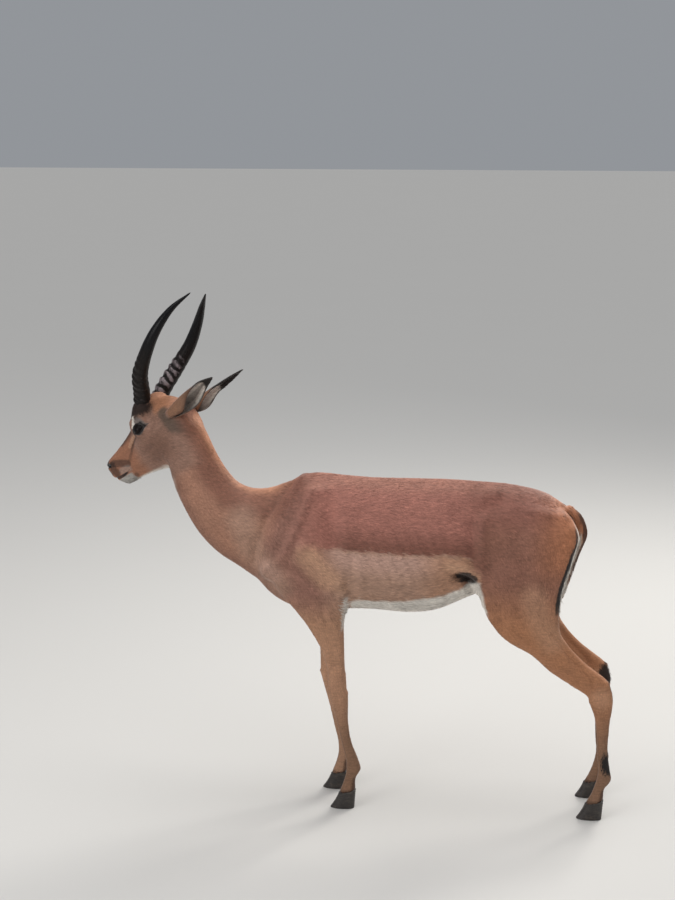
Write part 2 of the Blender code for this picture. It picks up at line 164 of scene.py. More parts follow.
def ripple(points, scale, seed):
    # soft uneven waves between about -1 and 1, a sum of sines in odd directions that the seed fixes
    dice = np.random.default_rng(seed)
    total = np.zeros(len(points))
    for octave in range(5):
        turn = dice.normal(size=3)
        turn *= (1.0 + 0.45 * octave) / (np.linalg.norm(turn) * scale)
        total += np.sin(points @ turn * 2 * math.pi + dice.uniform(0, 6.28))
    return total / 3.0


# ---- surfaces as arrays: vertices, quads, triangles ----

def gridQuads(rows, columns, wrap):
    # the faces between neighbours of a grid; wrap joins the last column to the first
    low = np.arange(rows - 1)[:, None] * columns
    i = np.arange(columns if wrap else columns - 1)[None, :]
    j = (i + 1) % columns
    high = low + columns
    return np.stack([low + i, low + j, high + j, high + i]).reshape(4, -1).T


def outward(surface):
    # turns the faces round where they enclose a negative volume
    verts, quads, tris = surface
    parts = np.concatenate([quads[:, [0, 1, 2]], quads[:, [0, 2, 3]], tris])
    a, b, c = verts[parts[:, 0]], verts[parts[:, 1]], verts[parts[:, 2]]
    if (a * np.cross(b, c)).sum() < 0:
        quads, tris = quads[:, ::-1], tris[:, ::-1]
    return verts, quads, tris


def tube(rings):
    # rings of points carried along a path, each end closed by a fan to its middle
    rows, columns = rings.shape[:2]
    verts = np.concatenate([rings.reshape(-1, 3), rings[0].mean(0)[None], rings[-1].mean(0)[None]])
    i = np.arange(columns)
    j = (i + 1) % columns
    first = np.stack([np.full(columns, rows * columns), j, i], axis=1)
    top = (rows - 1) * columns
    last = np.stack([np.full(columns, rows * columns + 1), top + i, top + j], axis=1)
    return outward((verts, gridQuads(rows, columns, True), np.concatenate([first, last])))


def joined(surfaces):
    # several surfaces as one, each one's corners counted on from the last
    verts, quads, tris, count = [], [], [], 0
    for v, q, t in surfaces:
        verts.append(v)
        quads.append(q + count)
        tris.append(t + count)
        count += len(v)
    return np.concatenate(verts), np.concatenate(quads), np.concatenate(tris)


def newMesh(name, surface):
    # arrays become a smooth mesh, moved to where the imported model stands
    verts, quads, tris = surface
    corners = np.concatenate([quads.ravel(), tris.ravel()]).astype(np.int32)
    sizes = np.concatenate([np.full(len(quads), 4), np.full(len(tris), 3)])
    starts = np.concatenate([[0], np.cumsum(sizes)[:-1]]).astype(np.int32)
    mesh = bpy.data.meshes.new(name)
    mesh.vertices.add(len(verts))
    mesh.vertices.foreach_set("co", (verts + frameShift).astype(np.float32).ravel())
    mesh.loops.add(len(corners))
    mesh.loops.foreach_set("vertex_index", corners)
    mesh.polygons.add(len(starts))
    mesh.polygons.foreach_set("loop_start", starts)
    mesh.update(calc_edges=True)
    mesh.polygons.foreach_set("use_smooth", np.ones(len(starts), bool))
    return mesh


def newPiece(name, surface):
    piece = bpy.data.objects.new(name, newMesh(name, surface))
    bpy.context.scene.collection.objects.link(piece)
    return piece


def applied(piece):
    # the piece with its modifiers made real
    graph = bpy.context.evaluated_depsgraph_get()
    mesh = bpy.data.meshes.new_from_object(piece.evaluated_get(graph))
    piece.modifiers.clear()
    piece.data = mesh
    return piece


def pointsOf(mesh, what="co"):
    values = np.empty(len(mesh.vertices) * 3, np.float32)
    mesh.vertices.foreach_get(what, values)
    values = values.reshape(-1, 3).astype(float)
    return values - frameShift if what == "co" else values


def surfaceOf(mesh):
    # a mesh back to arrays
    starts = np.empty(len(mesh.polygons), np.int32)
    sizes = np.empty(len(mesh.polygons), np.int32)
    corners = np.empty(len(mesh.loops), np.int32)
    mesh.polygons.foreach_get("loop_start", starts)
    mesh.polygons.foreach_get("loop_total", sizes)
    mesh.loops.foreach_get("vertex_index", corners)
    quads = corners[starts[sizes == 4][:, None] + np.arange(4)]
    tris = corners[starts[sizes == 3][:, None] + np.arange(3)]
    return pointsOf(mesh), quads, tris


def melted(name, surfaces, voxel, passes, finer=0):
    # overlapping closed lumps become one skin, which is relaxed and, where asked, split finer
    piece = newPiece(name, joined(surfaces))
    remesh = piece.modifiers.new("melt", "REMESH")
    remesh.mode = "VOXEL"
    remesh.voxel_size = voxel
    relax = piece.modifiers.new("relax", "SMOOTH")
    relax.factor = 0.5
    relax.iterations = passes
    if finer:
        split = piece.modifiers.new("finer", "SUBSURF")
        split.levels = finer
        split.render_levels = finer
    surface = surfaceOf(applied(piece).data)
    bpy.data.objects.remove(piece)
    return surface


# ---- the body's ribs ----
# Trunk, neck and legs: x and z of one edge, x and z of the edge across, middle y, half width.

trunkRibs = {
    "low": 0.42,
    "pinch": 0.22,
    "power": 2.2,
    "rows": [
        (-0.21, 0.775, -0.232, 0.665, 0.0, 0.045),
        (-0.172, 0.826, -0.195, 0.58, 0.0, 0.07),
        (-0.125, 0.862, -0.135, 0.534, 0.0, 0.084),
        (-0.075, 0.885, -0.078, 0.52, 0.0, 0.092),
        (0.0, 0.883, 0.0, 0.524, 0.0, 0.099),
        (0.09, 0.876, 0.09, 0.527, 0.0, 0.105),
        (0.18, 0.876, 0.18, 0.521, 0.0, 0.109),
        (0.27, 0.876, 0.258, 0.53, 0.0, 0.108),
        (0.36, 0.873, 0.333, 0.564, 0.0, 0.1),
        (0.45, 0.866, 0.42, 0.598, 0.0, 0.095),
        (0.53, 0.848, 0.5, 0.61, 0.0, 0.086),
        (0.588, 0.812, 0.565, 0.64, 0.0, 0.066),
        (0.618, 0.768, 0.6, 0.69, 0.0, 0.036),
    ],
}
neckRibs = {
    "low": 0.5,
    "pinch": 0.0,
    "power": 2.1,
    "rows": [
        (-0.09, 0.872, -0.13, 0.56, 0.0, 0.085),
        (-0.14, 0.855, -0.2, 0.592, 0.0, 0.077),
        (-0.18, 0.841, -0.262, 0.632, 0.0, 0.066),
        (-0.222, 0.84, -0.315, 0.665, 0.002, 0.058),
        (-0.262, 0.857, -0.362, 0.712, 0.006, 0.052),
        (-0.296, 0.897, -0.4, 0.772, 0.012, 0.048),
        (-0.324, 0.945, -0.43, 0.836, 0.02, 0.045),
        (-0.348, 0.992, -0.441, 0.885, 0.028, 0.044),
        (-0.37, 1.022, -0.44, 0.935, 0.034, 0.04),
    ],
}
foreleg = {
    "melted": 13,  # rows that melt into the trunk
    "shank": 9,  # row just above the joint where the fine lower leg starts
    "farStep": -0.034,  # the right foreleg stands a little ahead
    "rows": [
        (-0.085, 0.855, -0.015, 0.865, 0.045, 0.02),
        (-0.145, 0.775, 0.005, 0.79, 0.06, 0.031),
        (-0.178, 0.69, 0.02, 0.7, 0.069, 0.036),
        (-0.182, 0.635, 0.032, 0.64, 0.073, 0.036),
        (-0.15, 0.585, 0.04, 0.598, 0.075, 0.034),
        (-0.105, 0.535, 0.034, 0.55, 0.076, 0.031),
        (-0.066, 0.485, 0.029, 0.492, 0.075, 0.029),
        (-0.036, 0.43, 0.03, 0.434, 0.073, 0.025),
        (-0.023, 0.375, 0.032, 0.378, 0.071, 0.021),
        (-0.022, 0.33, 0.036, 0.322, 0.07, 0.02),
        (-0.009, 0.285, 0.036, 0.283, 0.069, 0.0175),
        (0.003, 0.24, 0.036, 0.243, 0.068, 0.0125),
        (0.018, 0.175, 0.045, 0.181, 0.067, 0.0112),
        (0.029, 0.125, 0.062, 0.135, 0.066, 0.0132),
        (0.029, 0.098, 0.069, 0.108, 0.066, 0.016),
        (0.021, 0.068, 0.056, 0.083, 0.066, 0.0142),
        (0.01, 0.04, 0.055, 0.05, 0.066, 0.018),
    ],
}
hindleg = {
    "melted": 14,
    "shank": 10,
    "farStep": 0.0,
    "rows": [
        (0.43, 0.835, 0.59, 0.805, 0.04, 0.03),
        (0.385, 0.76, 0.624, 0.745, 0.052, 0.041),
        (0.366, 0.69, 0.609, 0.685, 0.059, 0.044),
        (0.362, 0.625, 0.59, 0.63, 0.063, 0.045),
        (0.374, 0.56, 0.58, 0.59, 0.066, 0.044),
        (0.398, 0.51, 0.577, 0.555, 0.069, 0.042),
        (0.442, 0.466, 0.575, 0.523, 0.071, 0.038),
        (0.5, 0.436, 0.578, 0.498, 0.072, 0.033),
        (0.545, 0.394, 0.606, 0.46, 0.073, 0.027),
        (0.6, 0.357, 0.65, 0.418, 0.074, 0.022),
        (0.649, 0.322, 0.7, 0.378, 0.075, 0.0195),
        (0.664, 0.285, 0.7135, 0.335, 0.075, 0.0175),
        (0.673, 0.235, 0.707, 0.25, 0.075, 0.0125),
        (0.677, 0.17, 0.706, 0.178, 0.074, 0.0115),
        (0.68, 0.125, 0.712, 0.135, 0.073, 0.0135),
        (0.675, 0.098, 0.716, 0.108, 0.073, 0.0162),
        (0.664, 0.066, 0.699, 0.082, 0.073, 0.0145),
        (0.65, 0.04, 0.697, 0.051, 0.073, 0.0185),
    ],
}
tailRibs = {
    "low": 0.5,
    "pinch": 0.0,
    "power": 2.0,
    "rows": [
        (0.592, 0.818, 0.58, 0.792, 0.0, 0.016),
        (0.625, 0.79, 0.606, 0.772, 0.0, 0.016),
        (0.642, 0.745, 0.617, 0.74, 0.0, 0.017),
        (0.629, 0.7, 0.604, 0.692, 0.0, 0.018),
        (0.611, 0.655, 0.587, 0.643, 0.0, 0.017),
        (0.597, 0.61, 0.575, 0.598, 0.0, 0.015),
        (0.585, 0.568, 0.572, 0.56, 0.0, 0.007),
    ],
}
# Head: place along the face axis, top, bottom, half width, in the head's own frame.
headShape = {
    "crownPinch": 0.16,
    "jawPinch": 0.3,
    "rows": [
        (-0.035, 0.03, -0.04, 0.03),
        (-0.015, 0.064, -0.075, 0.04),
        (0.015, 0.087, -0.096, 0.047),
        (0.05, 0.098, -0.102, 0.05),
        (0.08, 0.097, -0.093, 0.05),
        (0.11, 0.088, -0.082, 0.047),
        (0.14, 0.072, -0.075, 0.04),
        (0.17, 0.056, -0.07, 0.033),
        (0.2, 0.044, -0.067, 0.0285),
        (0.23, 0.034, -0.065, 0.0258),
        (0.252, 0.0285, -0.062, 0.0245),
        (0.27, 0.0235, -0.05, 0.022),
        (0.284, 0.019, -0.028, 0.0165),
        (0.29, 0.013, -0.006, 0.009),
    ],
    "orbit": ((0.107, 0.04, 0.045), (0.032, 0.0215, 0.032)),
    "collar": [  # skin round the horn's foot: forward, sideways, height, radius
        (0.126, 0.016, 0.985, 0.018),
        (0.121, 0.025, 1.008, 0.0265),
        (0.115, 0.03, 1.025, 0.0268),
        (0.11, 0.035, 1.04, 0.0245),
        (0.106, 0.039, 1.052, 0.02),
    ],
    "cheek": ((0.045, 0.03, -0.04), (0.05, 0.021, 0.045)),
    "crown": ((0.056, 0.0, 0.088), (0.034, 0.036, 0.024)),
}
skinValues = {
    "softVoxel": 0.0095,  # the first melt gives the broad forms
    "softPasses": 14,
    "headVoxel": 0.0045,
    "headPasses": 10,
    "shankTop": 0.82,  # how narrow a lower leg starts, so that the upper leg hides it
    "bodyFine": 0.0044,  # the second melt gives the final faces
    "bodyFinePasses": 5,
    "headFine": 0.0017,
    "headFinePasses": 4,
    "kept": 0.58,  # share of the faces left after thinning, most of them on head and legs
    "headKept": 0.85,
    "legsKept": 0.8,
    "neckCut": ((-0.391, 0.0, 0.93), (-0.788, 0.0, 0.616)),
    "neckGap": 0.004,
    "bodyDepth": 0.0022,  # how far the skin lies under the tips of the coat
    "legDepth": 0.001,
    "headDepth": 0.0007,
}


def roundedSection(count, power):
    # sideways and lengthways reach of a rounded square, each -1 to 1
    c, s = np.cos(fullTurn(count)), np.sin(fullTurn(count))
    return np.sign(c) * np.abs(c) ** (2 / power), np.sign(s) * np.abs(s) ** (2 / power)


def ribRings(rows, count, power=2.2, low=0.5, pinch=0.0):
    # each rib is a rounded square from edge to edge, widest a share low of the way up
    across, along = roundedSection(count, power)
    share = low + np.where(along > 0, along * (1 - low), along * low)
    narrow = 1 - pinch * np.maximum(0.0, along) ** 2
    ax, az, bx, bz, y, half = (rows[:, k, None] for k in range(6))
    return vectors(bx + share * (ax - bx), y + half * across * narrow, bz + share * (az - bz))


def legSlide(height, step):
    # how far a leg that stands ahead has moved: nothing at the chest, growing to the whole step at the knee
    return step * np.clip((0.6 - height) / 0.22, 0.0, 1.0)


def legRows(leg, side):
    # a leg's rows on its own side of the body, with its step
    rows = np.array(leg["rows"])
    slide = legSlide((rows[:, 1] + rows[:, 3]) / 2, leg["farStep"] if side > 0 else 0.0)
    rows[:, 0] += slide
    rows[:, 2] += slide
    rows[:, 4] *= side
    return rows


def stepBack(points):
    # x with the far foreleg's step taken back, so that one set of places serves both forelegs
    slide = legSlide(points[:, 2], foreleg["farStep"])
    return points[:, 0] - slide * (points[:, 1] > 0) * (points[:, 0] < 0.25)


def middleLine(rows):
    # the points midway between the edges of a set of ribs
    return vectors((rows[:, 0] + rows[:, 2]) / 2, rows[:, 4], (rows[:, 1] + rows[:, 3]) / 2)


def ribbed(ribs, rows, columns):
    shape = {key: ribs[key] for key in ("power", "low", "pinch")}
    return tube(ribRings(smoothRows(ribs["rows"], rows), columns, **shape))


def headTube(rows, columns):
    # the head's own rings, narrower towards crown and jaw
    across, up = roundedSection(columns, 2.25)
    along, top, bottom, half = (smoothRows(headShape["rows"], rows)[:, k, None] for k in range(4))
    pinch = headShape["crownPinch"] * np.maximum(0.0, up) ** 2
    pinch = pinch + headShape["jawPinch"] * np.maximum(0.0, -up) ** 2
    height = (top + bottom) / 2 + up * (top - bottom) / 2
    return tube(headTilted(along, half * across * (1 - pinch), height))


def headBall(centre, radii, side, count=16):
    # an egg in the head's frame: latitude from pole to pole, longitude round
    lat = np.linspace(0.04, math.pi - 0.04, count)[:, None]
    lon = fullTurn(2 * count)
    along = centre[0] + radii[0] * np.sin(lat) * np.cos(lon)
    sideways = side * (centre[1] + radii[1] * np.sin(lat) * np.sin(lon))
    return tube(headTilted(along, sideways, centre[2] + radii[2] * np.cos(lat)))


def hornCollar(side, count=20):
    # short stump that the horn grows from: circles up its foot
    forward, sideways, height, radius = (smoothRows(headShape["collar"], 14)[:, k, None] for k in range(4))
    turn = fullTurn(count)
    return tube(headLevel(forward + radius * np.cos(turn), side * (sideways + radius * np.sin(turn)), height))


def headLumps():
    lumps = [headTube(40, 32), headBall(*headShape["crown"], 1.0)]
    for side in sides.values():
        lumps.append(headBall(*headShape["orbit"], side))
        lumps.append(headBall(*headShape["cheek"], side))
        lumps.append(hornCollar(side))
    return lumps


def upperLegs():
    legs = []
    for side in sides.values():
        for leg, rows in ((foreleg, 44), (hindleg, 52)):
            legs.append(tube(ribRings(smoothRows(legRows(leg, side)[: leg["melted"]], rows), 20)))
    return legs


def lowerLegs():
    # whole shank, fetlock and pastern; the top ring hides inside the upper leg
    legs = []
    for side in sides.values():
        for leg in (foreleg, hindleg):
            rows = legRows(leg, side)[leg["shank"]:]
            rows[0, 5] *= skinValues["shankTop"]
            legs.append(tube(ribRings(smoothRows(rows, 40), 28)))
    return legs


def stitched(body, head):
    # the two skins are cut square across the upper neck and bridged into one
    point, normal = (Vector(v) for v in skinValues["neckCut"])
    point += Vector(frameShift)
    normal.normalize()
    back = normal * skinValues["neckGap"] / 2
    bm = bmesh.new()
    for surface, plane, keepLow in ((body, point - back, True), (head, point + back, False)):
        part = bmesh.new()
        part.from_mesh(newMesh("part", surface))
        geometry = part.verts[:] + part.edges[:] + part.faces[:]
        bmesh.ops.bisect_plane(
            part, geom=geometry, dist=1e-6, plane_co=plane, plane_no=normal,
            clear_outer=keepLow, clear_inner=not keepLow,
        )
        bmesh.ops.remove_doubles(part, verts=part.verts, dist=0.00015)
        half = bpy.data.meshes.new("half")
        part.to_mesh(half)
        part.free()
        bm.from_mesh(half)
    rims = [edge for edge in bm.edges if edge.is_boundary]
    bmesh.ops.bridge_loops(bm, edges=rims)
    odd = [face for face in bm.faces if len(face.verts) > 4]
    bmesh.ops.triangulate(bm, faces=odd)
    bmesh.ops.recalc_face_normals(bm, faces=bm.faces)
    mesh = bpy.data.meshes.new("stitched")
    bm.to_mesh(mesh)
    bm.free()
    return surfaceOf(mesh)


# ---- muscle and bone under the skin ----
# Side view forms of the left side: x, z points, width, height (below 0 is a hollow).
# The right side mirrors them, and its foreleg forms slide ahead with that leg.

bodyForms = {
    "shoulderBladeEdge": ([(-0.092, 0.868), (-0.122, 0.8), (-0.16, 0.71), (-0.172, 0.65)], 0.019, 0.0062),
    "neckCrease": ([(-0.12, 0.858), (-0.17, 0.785), (-0.204, 0.704), (-0.215, 0.655)], 0.015, -0.006),
    "shoulderPoint": ([(-0.17, 0.648), (-0.176, 0.634)], 0.018, 0.009),
    "belowShoulderPoint": ([(-0.17, 0.6), (-0.12, 0.585)], 0.02, -0.0052),
    "bladeSpine": ([(-0.062, 0.85), (-0.098, 0.76), (-0.138, 0.672)], 0.013, 0.0036),
    "behindBlade": ([(-0.03, 0.835), (-0.01, 0.78), (0.004, 0.725)], 0.026, -0.0062),
    "triceps": ([(-0.078, 0.708), (-0.035, 0.668), (0.006, 0.625)], 0.021, 0.0068),
    "behindElbow": ([(0.045, 0.69), (0.044, 0.625), (0.046, 0.585)], 0.017, -0.005),
    "elbow": ([(0.016, 0.612), (0.022, 0.592)], 0.013, 0.0055),
    "upperArm": ([(-0.115, 0.655), (-0.062, 0.622), (-0.028, 0.602)], 0.012, -0.0038),
    "forearmFront": ([(-0.088, 0.565), (-0.052, 0.48), (-0.03, 0.41)], 0.011, 0.0022),
    "forearmGroove": ([(-0.032, 0.56), (-0.014, 0.48), (0.0, 0.4)], 0.009, -0.0026),
    "ribFlat": ([(0.08, 0.77), (0.2, 0.775)], 0.06, -0.003),
    "flankHollow": ([(0.318, 0.8), (0.338, 0.77)], 0.036, -0.0058),
    "hipBone": ([(0.372, 0.842), (0.402, 0.85)], 0.017, 0.0052),
    "hipHollow": ([(0.372, 0.812), (0.412, 0.828)], 0.022, -0.0034),
    "thighFront": ([(0.372, 0.79), (0.383, 0.705), (0.38, 0.64), (0.392, 0.58)], 0.018, 0.0042),
    "flankLine": ([(0.346, 0.78), (0.354, 0.715), (0.352, 0.672)], 0.015, -0.0042),
    "flankFold": ([(0.262, 0.672), (0.312, 0.668), (0.346, 0.656), (0.366, 0.632)], 0.013, 0.006),
    "belowFold": ([(0.312, 0.639), (0.332, 0.634), (0.347, 0.622)], 0.0115, -0.02),
    "groin": ([(0.345, 0.612), (0.356, 0.585)], 0.013, -0.011),
    "kneecap": ([(0.392, 0.575), (0.402, 0.545)], 0.022, 0.004),
    "rumpGroove": ([(0.548, 0.79), (0.56, 0.715), (0.548, 0.64), (0.54, 0.585)], 0.017, -0.0036),
    "thighGroove": ([(0.47, 0.76), (0.482, 0.68), (0.492, 0.61)], 0.022, -0.0034),
    "seatBone": ([(0.592, 0.762), (0.598, 0.735)], 0.018, 0.004),
    "gaskin": ([(0.45, 0.52), (0.52, 0.455), (0.58, 0.405)], 0.018, 0.0028),
    "heelString": ([(0.556, 0.5), (0.606, 0.436), (0.662, 0.376)], 0.0075, -0.0052),
    "hockSide": ([(0.664, 0.345), (0.676, 0.335)], 0.01, -0.0022),
    "hockPoint": ([(0.69, 0.372), (0.699, 0.362)], 0.01, 0.0026),
    "kneeBone": ([(0.002, 0.362), (0.006, 0.318)], 0.01, 0.0018),
    "kneeAbove": ([(0.004, 0.396), (0.01, 0.39)], 0.009, -0.0014),
    "foreTendon": ([(0.026, 0.262), (0.04, 0.15)], 0.0034, -0.0018),
    "hindTendon": ([(0.696, 0.292), (0.698, 0.15)], 0.0034, -0.0018),
    "foreFetlock": ([(0.05, 0.116), (0.052, 0.104)], 0.011, 0.0016),
    "hindFetlock": ([(0.7, 0.116), (0.7, 0.104)], 0.011, 0.0016),
    "jawGroove": (
        [(-0.424, 0.88), (-0.402, 0.83), (-0.376, 0.77), (-0.33, 0.712), (-0.262, 0.672)],
        0.013, -0.0036,
    ),
    "neckMuscle": ([(-0.368, 0.915), (-0.345, 0.85), (-0.305, 0.78), (-0.24, 0.73)], 0.022, 0.0028),
    "napeHollow": ([(-0.322, 0.93), (-0.285, 0.868), (-0.235, 0.828)], 0.014, -0.002),
}
ribCage = {
    "from": 0.055,
    "to": 0.29,
    "low": 0.59,
    "high": 0.8,
    "spacing": 0.031,
    "lean": 0.42,
    "height": 0.00035,
}


def coatDepth(points):
    # thin on the legs and the head, deepest on the body
    low = fade(points[:, 2], 0.56, 0.44)
    face = onFace(points)
    depth = skinValues["bodyDepth"] + (skinValues["legDepth"] - skinValues["bodyDepth"]) * low
    return depth + (skinValues["headDepth"] - depth) * face


def formRelief(points, forms, weight):
    # each form is a soft ridge or hollow round its line: height times a bell of the distance
    relief = np.zeros(len(points))
    for path, width, height in forms.values():
        near = np.array(path)
        box = (points > near.min(0) - 3 * width).all(1) & (points < near.max(0) + 3 * width).all(1)
        if box.any():
            relief[box] += height * hump(gapTo(points[box], path), width) * weight[box]
    return relief


def bodyRelief(points, normals):
    # the forms and faint ribs on faces that look sideways, then the lines down the middle of the body
    x, z = points[:, 0], points[:, 2]
    wide = np.abs(points[:, 1])
    flat = np.stack([stepBack(points), z], axis=1)
    sideways = fade(np.abs(normals[:, 1]), 0.1, 0.55)
    relief = formRelief(flat, bodyForms, sideways)
    cage = band(flat[:, 0], ribCage["from"], ribCage["to"], 0.05)
    cage = cage * band(z, ribCage["low"], ribCage["high"], 0.06)
    wave = np.sin(2 * math.pi * (flat[:, 0] + ribCage["lean"] * (z - 0.7)) / ribCage["spacing"])
    relief += ribCage["height"] * cage * wave * sideways
    spine = fade(x, -0.1, 0.0) * fade(x, 0.6, 0.5) * fade(normals[:, 2], 0.6, 0.95)
    relief += spine * (0.0016 * hump(wide, 0.01) - 0.0012 * hump(wide - 0.028, 0.014))
    buttocks = fade(z, 0.64, 0.7) * (x > 0.56) * fade(normals[:, 0], 0.2, 0.7)
    relief -= 0.005 * buttocks * hump(wide - 0.02, 0.01)
    brisket = fade(x, -0.1, -0.17) * fade(z, 0.78, 0.7) * fade(-normals[:, 0], 0.2, 0.7)
    return relief - 0.004 * brisket * hump(wide, 0.012)


# ---- the face ----

lids = {
    "axis": (-0.08, 0.99, 0.14),  # the middle of the opening
    "slit": (1.0, -0.3, -0.12),  # towards the tear corner
    "halfLength": math.radians(70),
    "halfOpen": math.radians(52),
    "lower": 0.85,
    "thickness": 0.0012,
    "reach": 1.55,  # where the lid has run out into the face
    "narrowing": 0.3,  # how much less it opens at the tear corner
    "near": 0.036,  # how far from the eye's middle the skin is moved
    "swell": 0.0011,  # height of the lid's rounded edge
    "rim": (0.0013, 0.001),  # half width and half thickness of the moist edge
    "proud": 0.0006,  # how far its middle stands off the eyeball
}
# Face forms in the head's frame: along, sideways, up points, width, height.
faceForms = {
    "brow": ([(0.122, 0.046, 0.066), (0.104, 0.05, 0.071), (0.082, 0.052, 0.06)], 0.0085, 0.0034),
    "behindBrow": ([(0.07, 0.048, 0.052), (0.052, 0.046, 0.04)], 0.012, -0.003),
    "cheekBone": (
        [(0.14, 0.04, 0.008), (0.112, 0.05, 0.008), (0.08, 0.054, 0.012), (0.05, 0.052, 0.022)],
        0.009, 0.0032,
    ),
    "belowCheekBone": ([(0.15, 0.036, -0.016), (0.112, 0.044, -0.014)], 0.014, -0.0024),
    "jawEdge": ([(0.015, 0.036, -0.08), (0.06, 0.04, -0.086), (0.105, 0.034, -0.074)], 0.011, 0.003),
    "jawHollow": ([(0.12, 0.034, -0.05), (0.165, 0.029, -0.05), (0.2, 0.026, -0.05)], 0.013, -0.003),
    "tearGroove": ([(0.128, 0.046, 0.034), (0.145, 0.034, 0.029), (0.163, 0.029, 0.017)], 0.0045, -0.0026),
    "noseEdge": ([(0.14, 0.022, 0.06), (0.18, 0.017, 0.043), (0.225, 0.014, 0.03)], 0.008, 0.0016),
    "noseSide": ([(0.165, 0.03, 0.02), (0.205, 0.026, 0.008), (0.238, 0.025, -0.004)], 0.012, -0.0026),
    "noseWing": ([(0.262, 0.019, 0.01), (0.274, 0.018, 0.0)], 0.0075, 0.003),
    "nostril": ([(0.2855, 0.0085, 0.002), (0.279, 0.015, 0.0045), (0.27, 0.0195, 0.002)], 0.003, -0.0062),
    "nostrilTail": ([(0.27, 0.02, 0.0), (0.267, 0.0208, -0.006)], 0.0022, -0.0022),
    "upperLip": (
        [(0.276, 0.012, -0.024), (0.262, 0.02, -0.032), (0.24, 0.023, -0.036), (0.222, 0.024, -0.038)],
        0.006, 0.0024,
    ),
    "mouth": (
        [(0.281, 0.004, -0.031), (0.268, 0.016, -0.037), (0.252, 0.021, -0.0395),
         (0.236, 0.023, -0.0395), (0.222, 0.024, -0.038)],
        0.0026, -0.0044,
    ),
    "mouthCorner": ([(0.222, 0.025, -0.038), (0.214, 0.025, -0.036)], 0.0036, -0.0034),
    "chin": ([(0.252, 0.01, -0.06), (0.236, 0.012, -0.063)], 0.01, 0.0026),
    "lipSplit": ([(0.291, 0.0, -0.004), (0.288, 0.0, -0.016), (0.283, 0.0, -0.028)], 0.0017, -0.0018),
    "foreheadHollow": ([(0.13, 0.0, 0.076), (0.1, 0.0, 0.094)], 0.012, -0.0022),
    "hornPad": ([(0.098, 0.03, 0.083), (0.086, 0.036, 0.085)], 0.017, 0.004),
    "earPad": ([(0.016, 0.04, 0.03), (0.008, 0.042, 0.052)], 0.016, 0.0035),
}


def squareTo(axis, along):
    # three unit vectors: the axis, the nearest to along that stands square to it, and the one square to both
    axis = unit(np.array(axis))
    along = unit(np.array(along) - axis * np.dot(along, axis))
    return axis, along, np.cross(axis, along)


def lidFrame():
    # out through the middle of the opening, towards the tear corner, and up
    axis, slit, over = squareTo(lids["axis"], lids["slit"])
    return axis, slit, over * np.sign(over[2])


def byEye(spot, side):
    # a place given from the eye's middle: forward, outwards and up in the head's frame
    sideways = side * (eyeBall["sideways"] + spot[..., 1])
    return headTilted(eyeBall["along"] + spot[..., 0], sideways, eyeBall["up"] + spot[..., 2])


def eyeAngles(points, side):
    # every point seen from the eye's middle: angles along and across the slit, and its distance
    along, sideways, up = toHead(points)
    middle = (eyeBall["along"], eyeBall["sideways"], eyeBall["up"])
    rel = np.stack([along, side * sideways, up], axis=1) - np.array(middle)
    axis, slit, over = lidFrame()
    out = rel @ axis
    return np.arctan2(rel @ slit, out), np.arctan2(rel @ over, out), np.linalg.norm(rel, axis=1)


def lidOpening(along, over):
    # half opening of the lids: less towards the tear corner, where along is 1, and less below the slit
    opening = lids["halfOpen"] * (1 - lids["narrowing"] * np.clip(along, 0, 1) ** 2)
    return opening * np.where(over < 0, lids["lower"], 1.0)


def lidMeasure(points, side):
    # 0 in the middle of the eye, 1 at the lid's edge, more outside; also the distance
    along, over, reach = eyeAngles(points, side)
    along = along / lids["halfLength"]
    return np.hypot(along, over / lidOpening(along, over)), reach


def onFace(points):
    # 1 on the head, fading out behind the jaw
    along, up = toHead(points)[::2]
    ahead = (points[:, 0] < -0.34) * fade(along, -0.03, 0.015)
    return ahead * fade(up, -0.124, -0.1) * (points[:, 2] > 0.78)


def nearEye(points):
    # 0 in the middle of either eye, 1 at its lids, growing to 9 away from it
    nearest = np.full(len(points), 9.0)
    for side in sides.values():
        measure, reach = lidMeasure(points, side)
        nearest = np.minimum(nearest, np.where(reach < 0.034, measure, 9.0))
    return nearest


def onCollar(points):
    # 1 on the skin that climbs the foot of either horn
    rows = np.array(headShape["collar"])
    mask = np.zeros(len(points))
    for side in sides.values():
        gap, share = pathPlace(points, headLevel(rows[:, 0], side * rows[:, 1], rows[:, 2]))
        mask = np.maximum(mask, fade(gap, 0.036, 0.029) * fade(share, 0.3, 0.6))
    return mask


def faceRelief(points):
    along, sideways, up = toHead(points)
    return formRelief(np.stack([along, np.abs(sideways), up], axis=1), faceForms, np.ones(len(points)))


def openedEyes(points):
    # the skin follows the eyeball under the lids and dives behind it inside their edge
    points = points.copy()
    for side in sides.values():
        middle = byEye(np.zeros(3), side)
        near = np.linalg.norm(points - middle, axis=1) < lids["near"]
        moved = points[near]
        measure, reach = lidMeasure(moved, side)
        outer = eyeBall["radius"] + lids["thickness"] + lids["swell"] * hump(measure - 1.1, 0.1)
        wanted = reach + (outer - reach) * fade(measure, lids["reach"], 1.12)
        wanted += (eyeBall["radius"] * 0.8 - wanted) * fade(measure, 1.02, 0.95)
        points[near] = middle + (moved - middle) * (wanted / np.maximum(reach, 1e-6))[:, None]
    return points


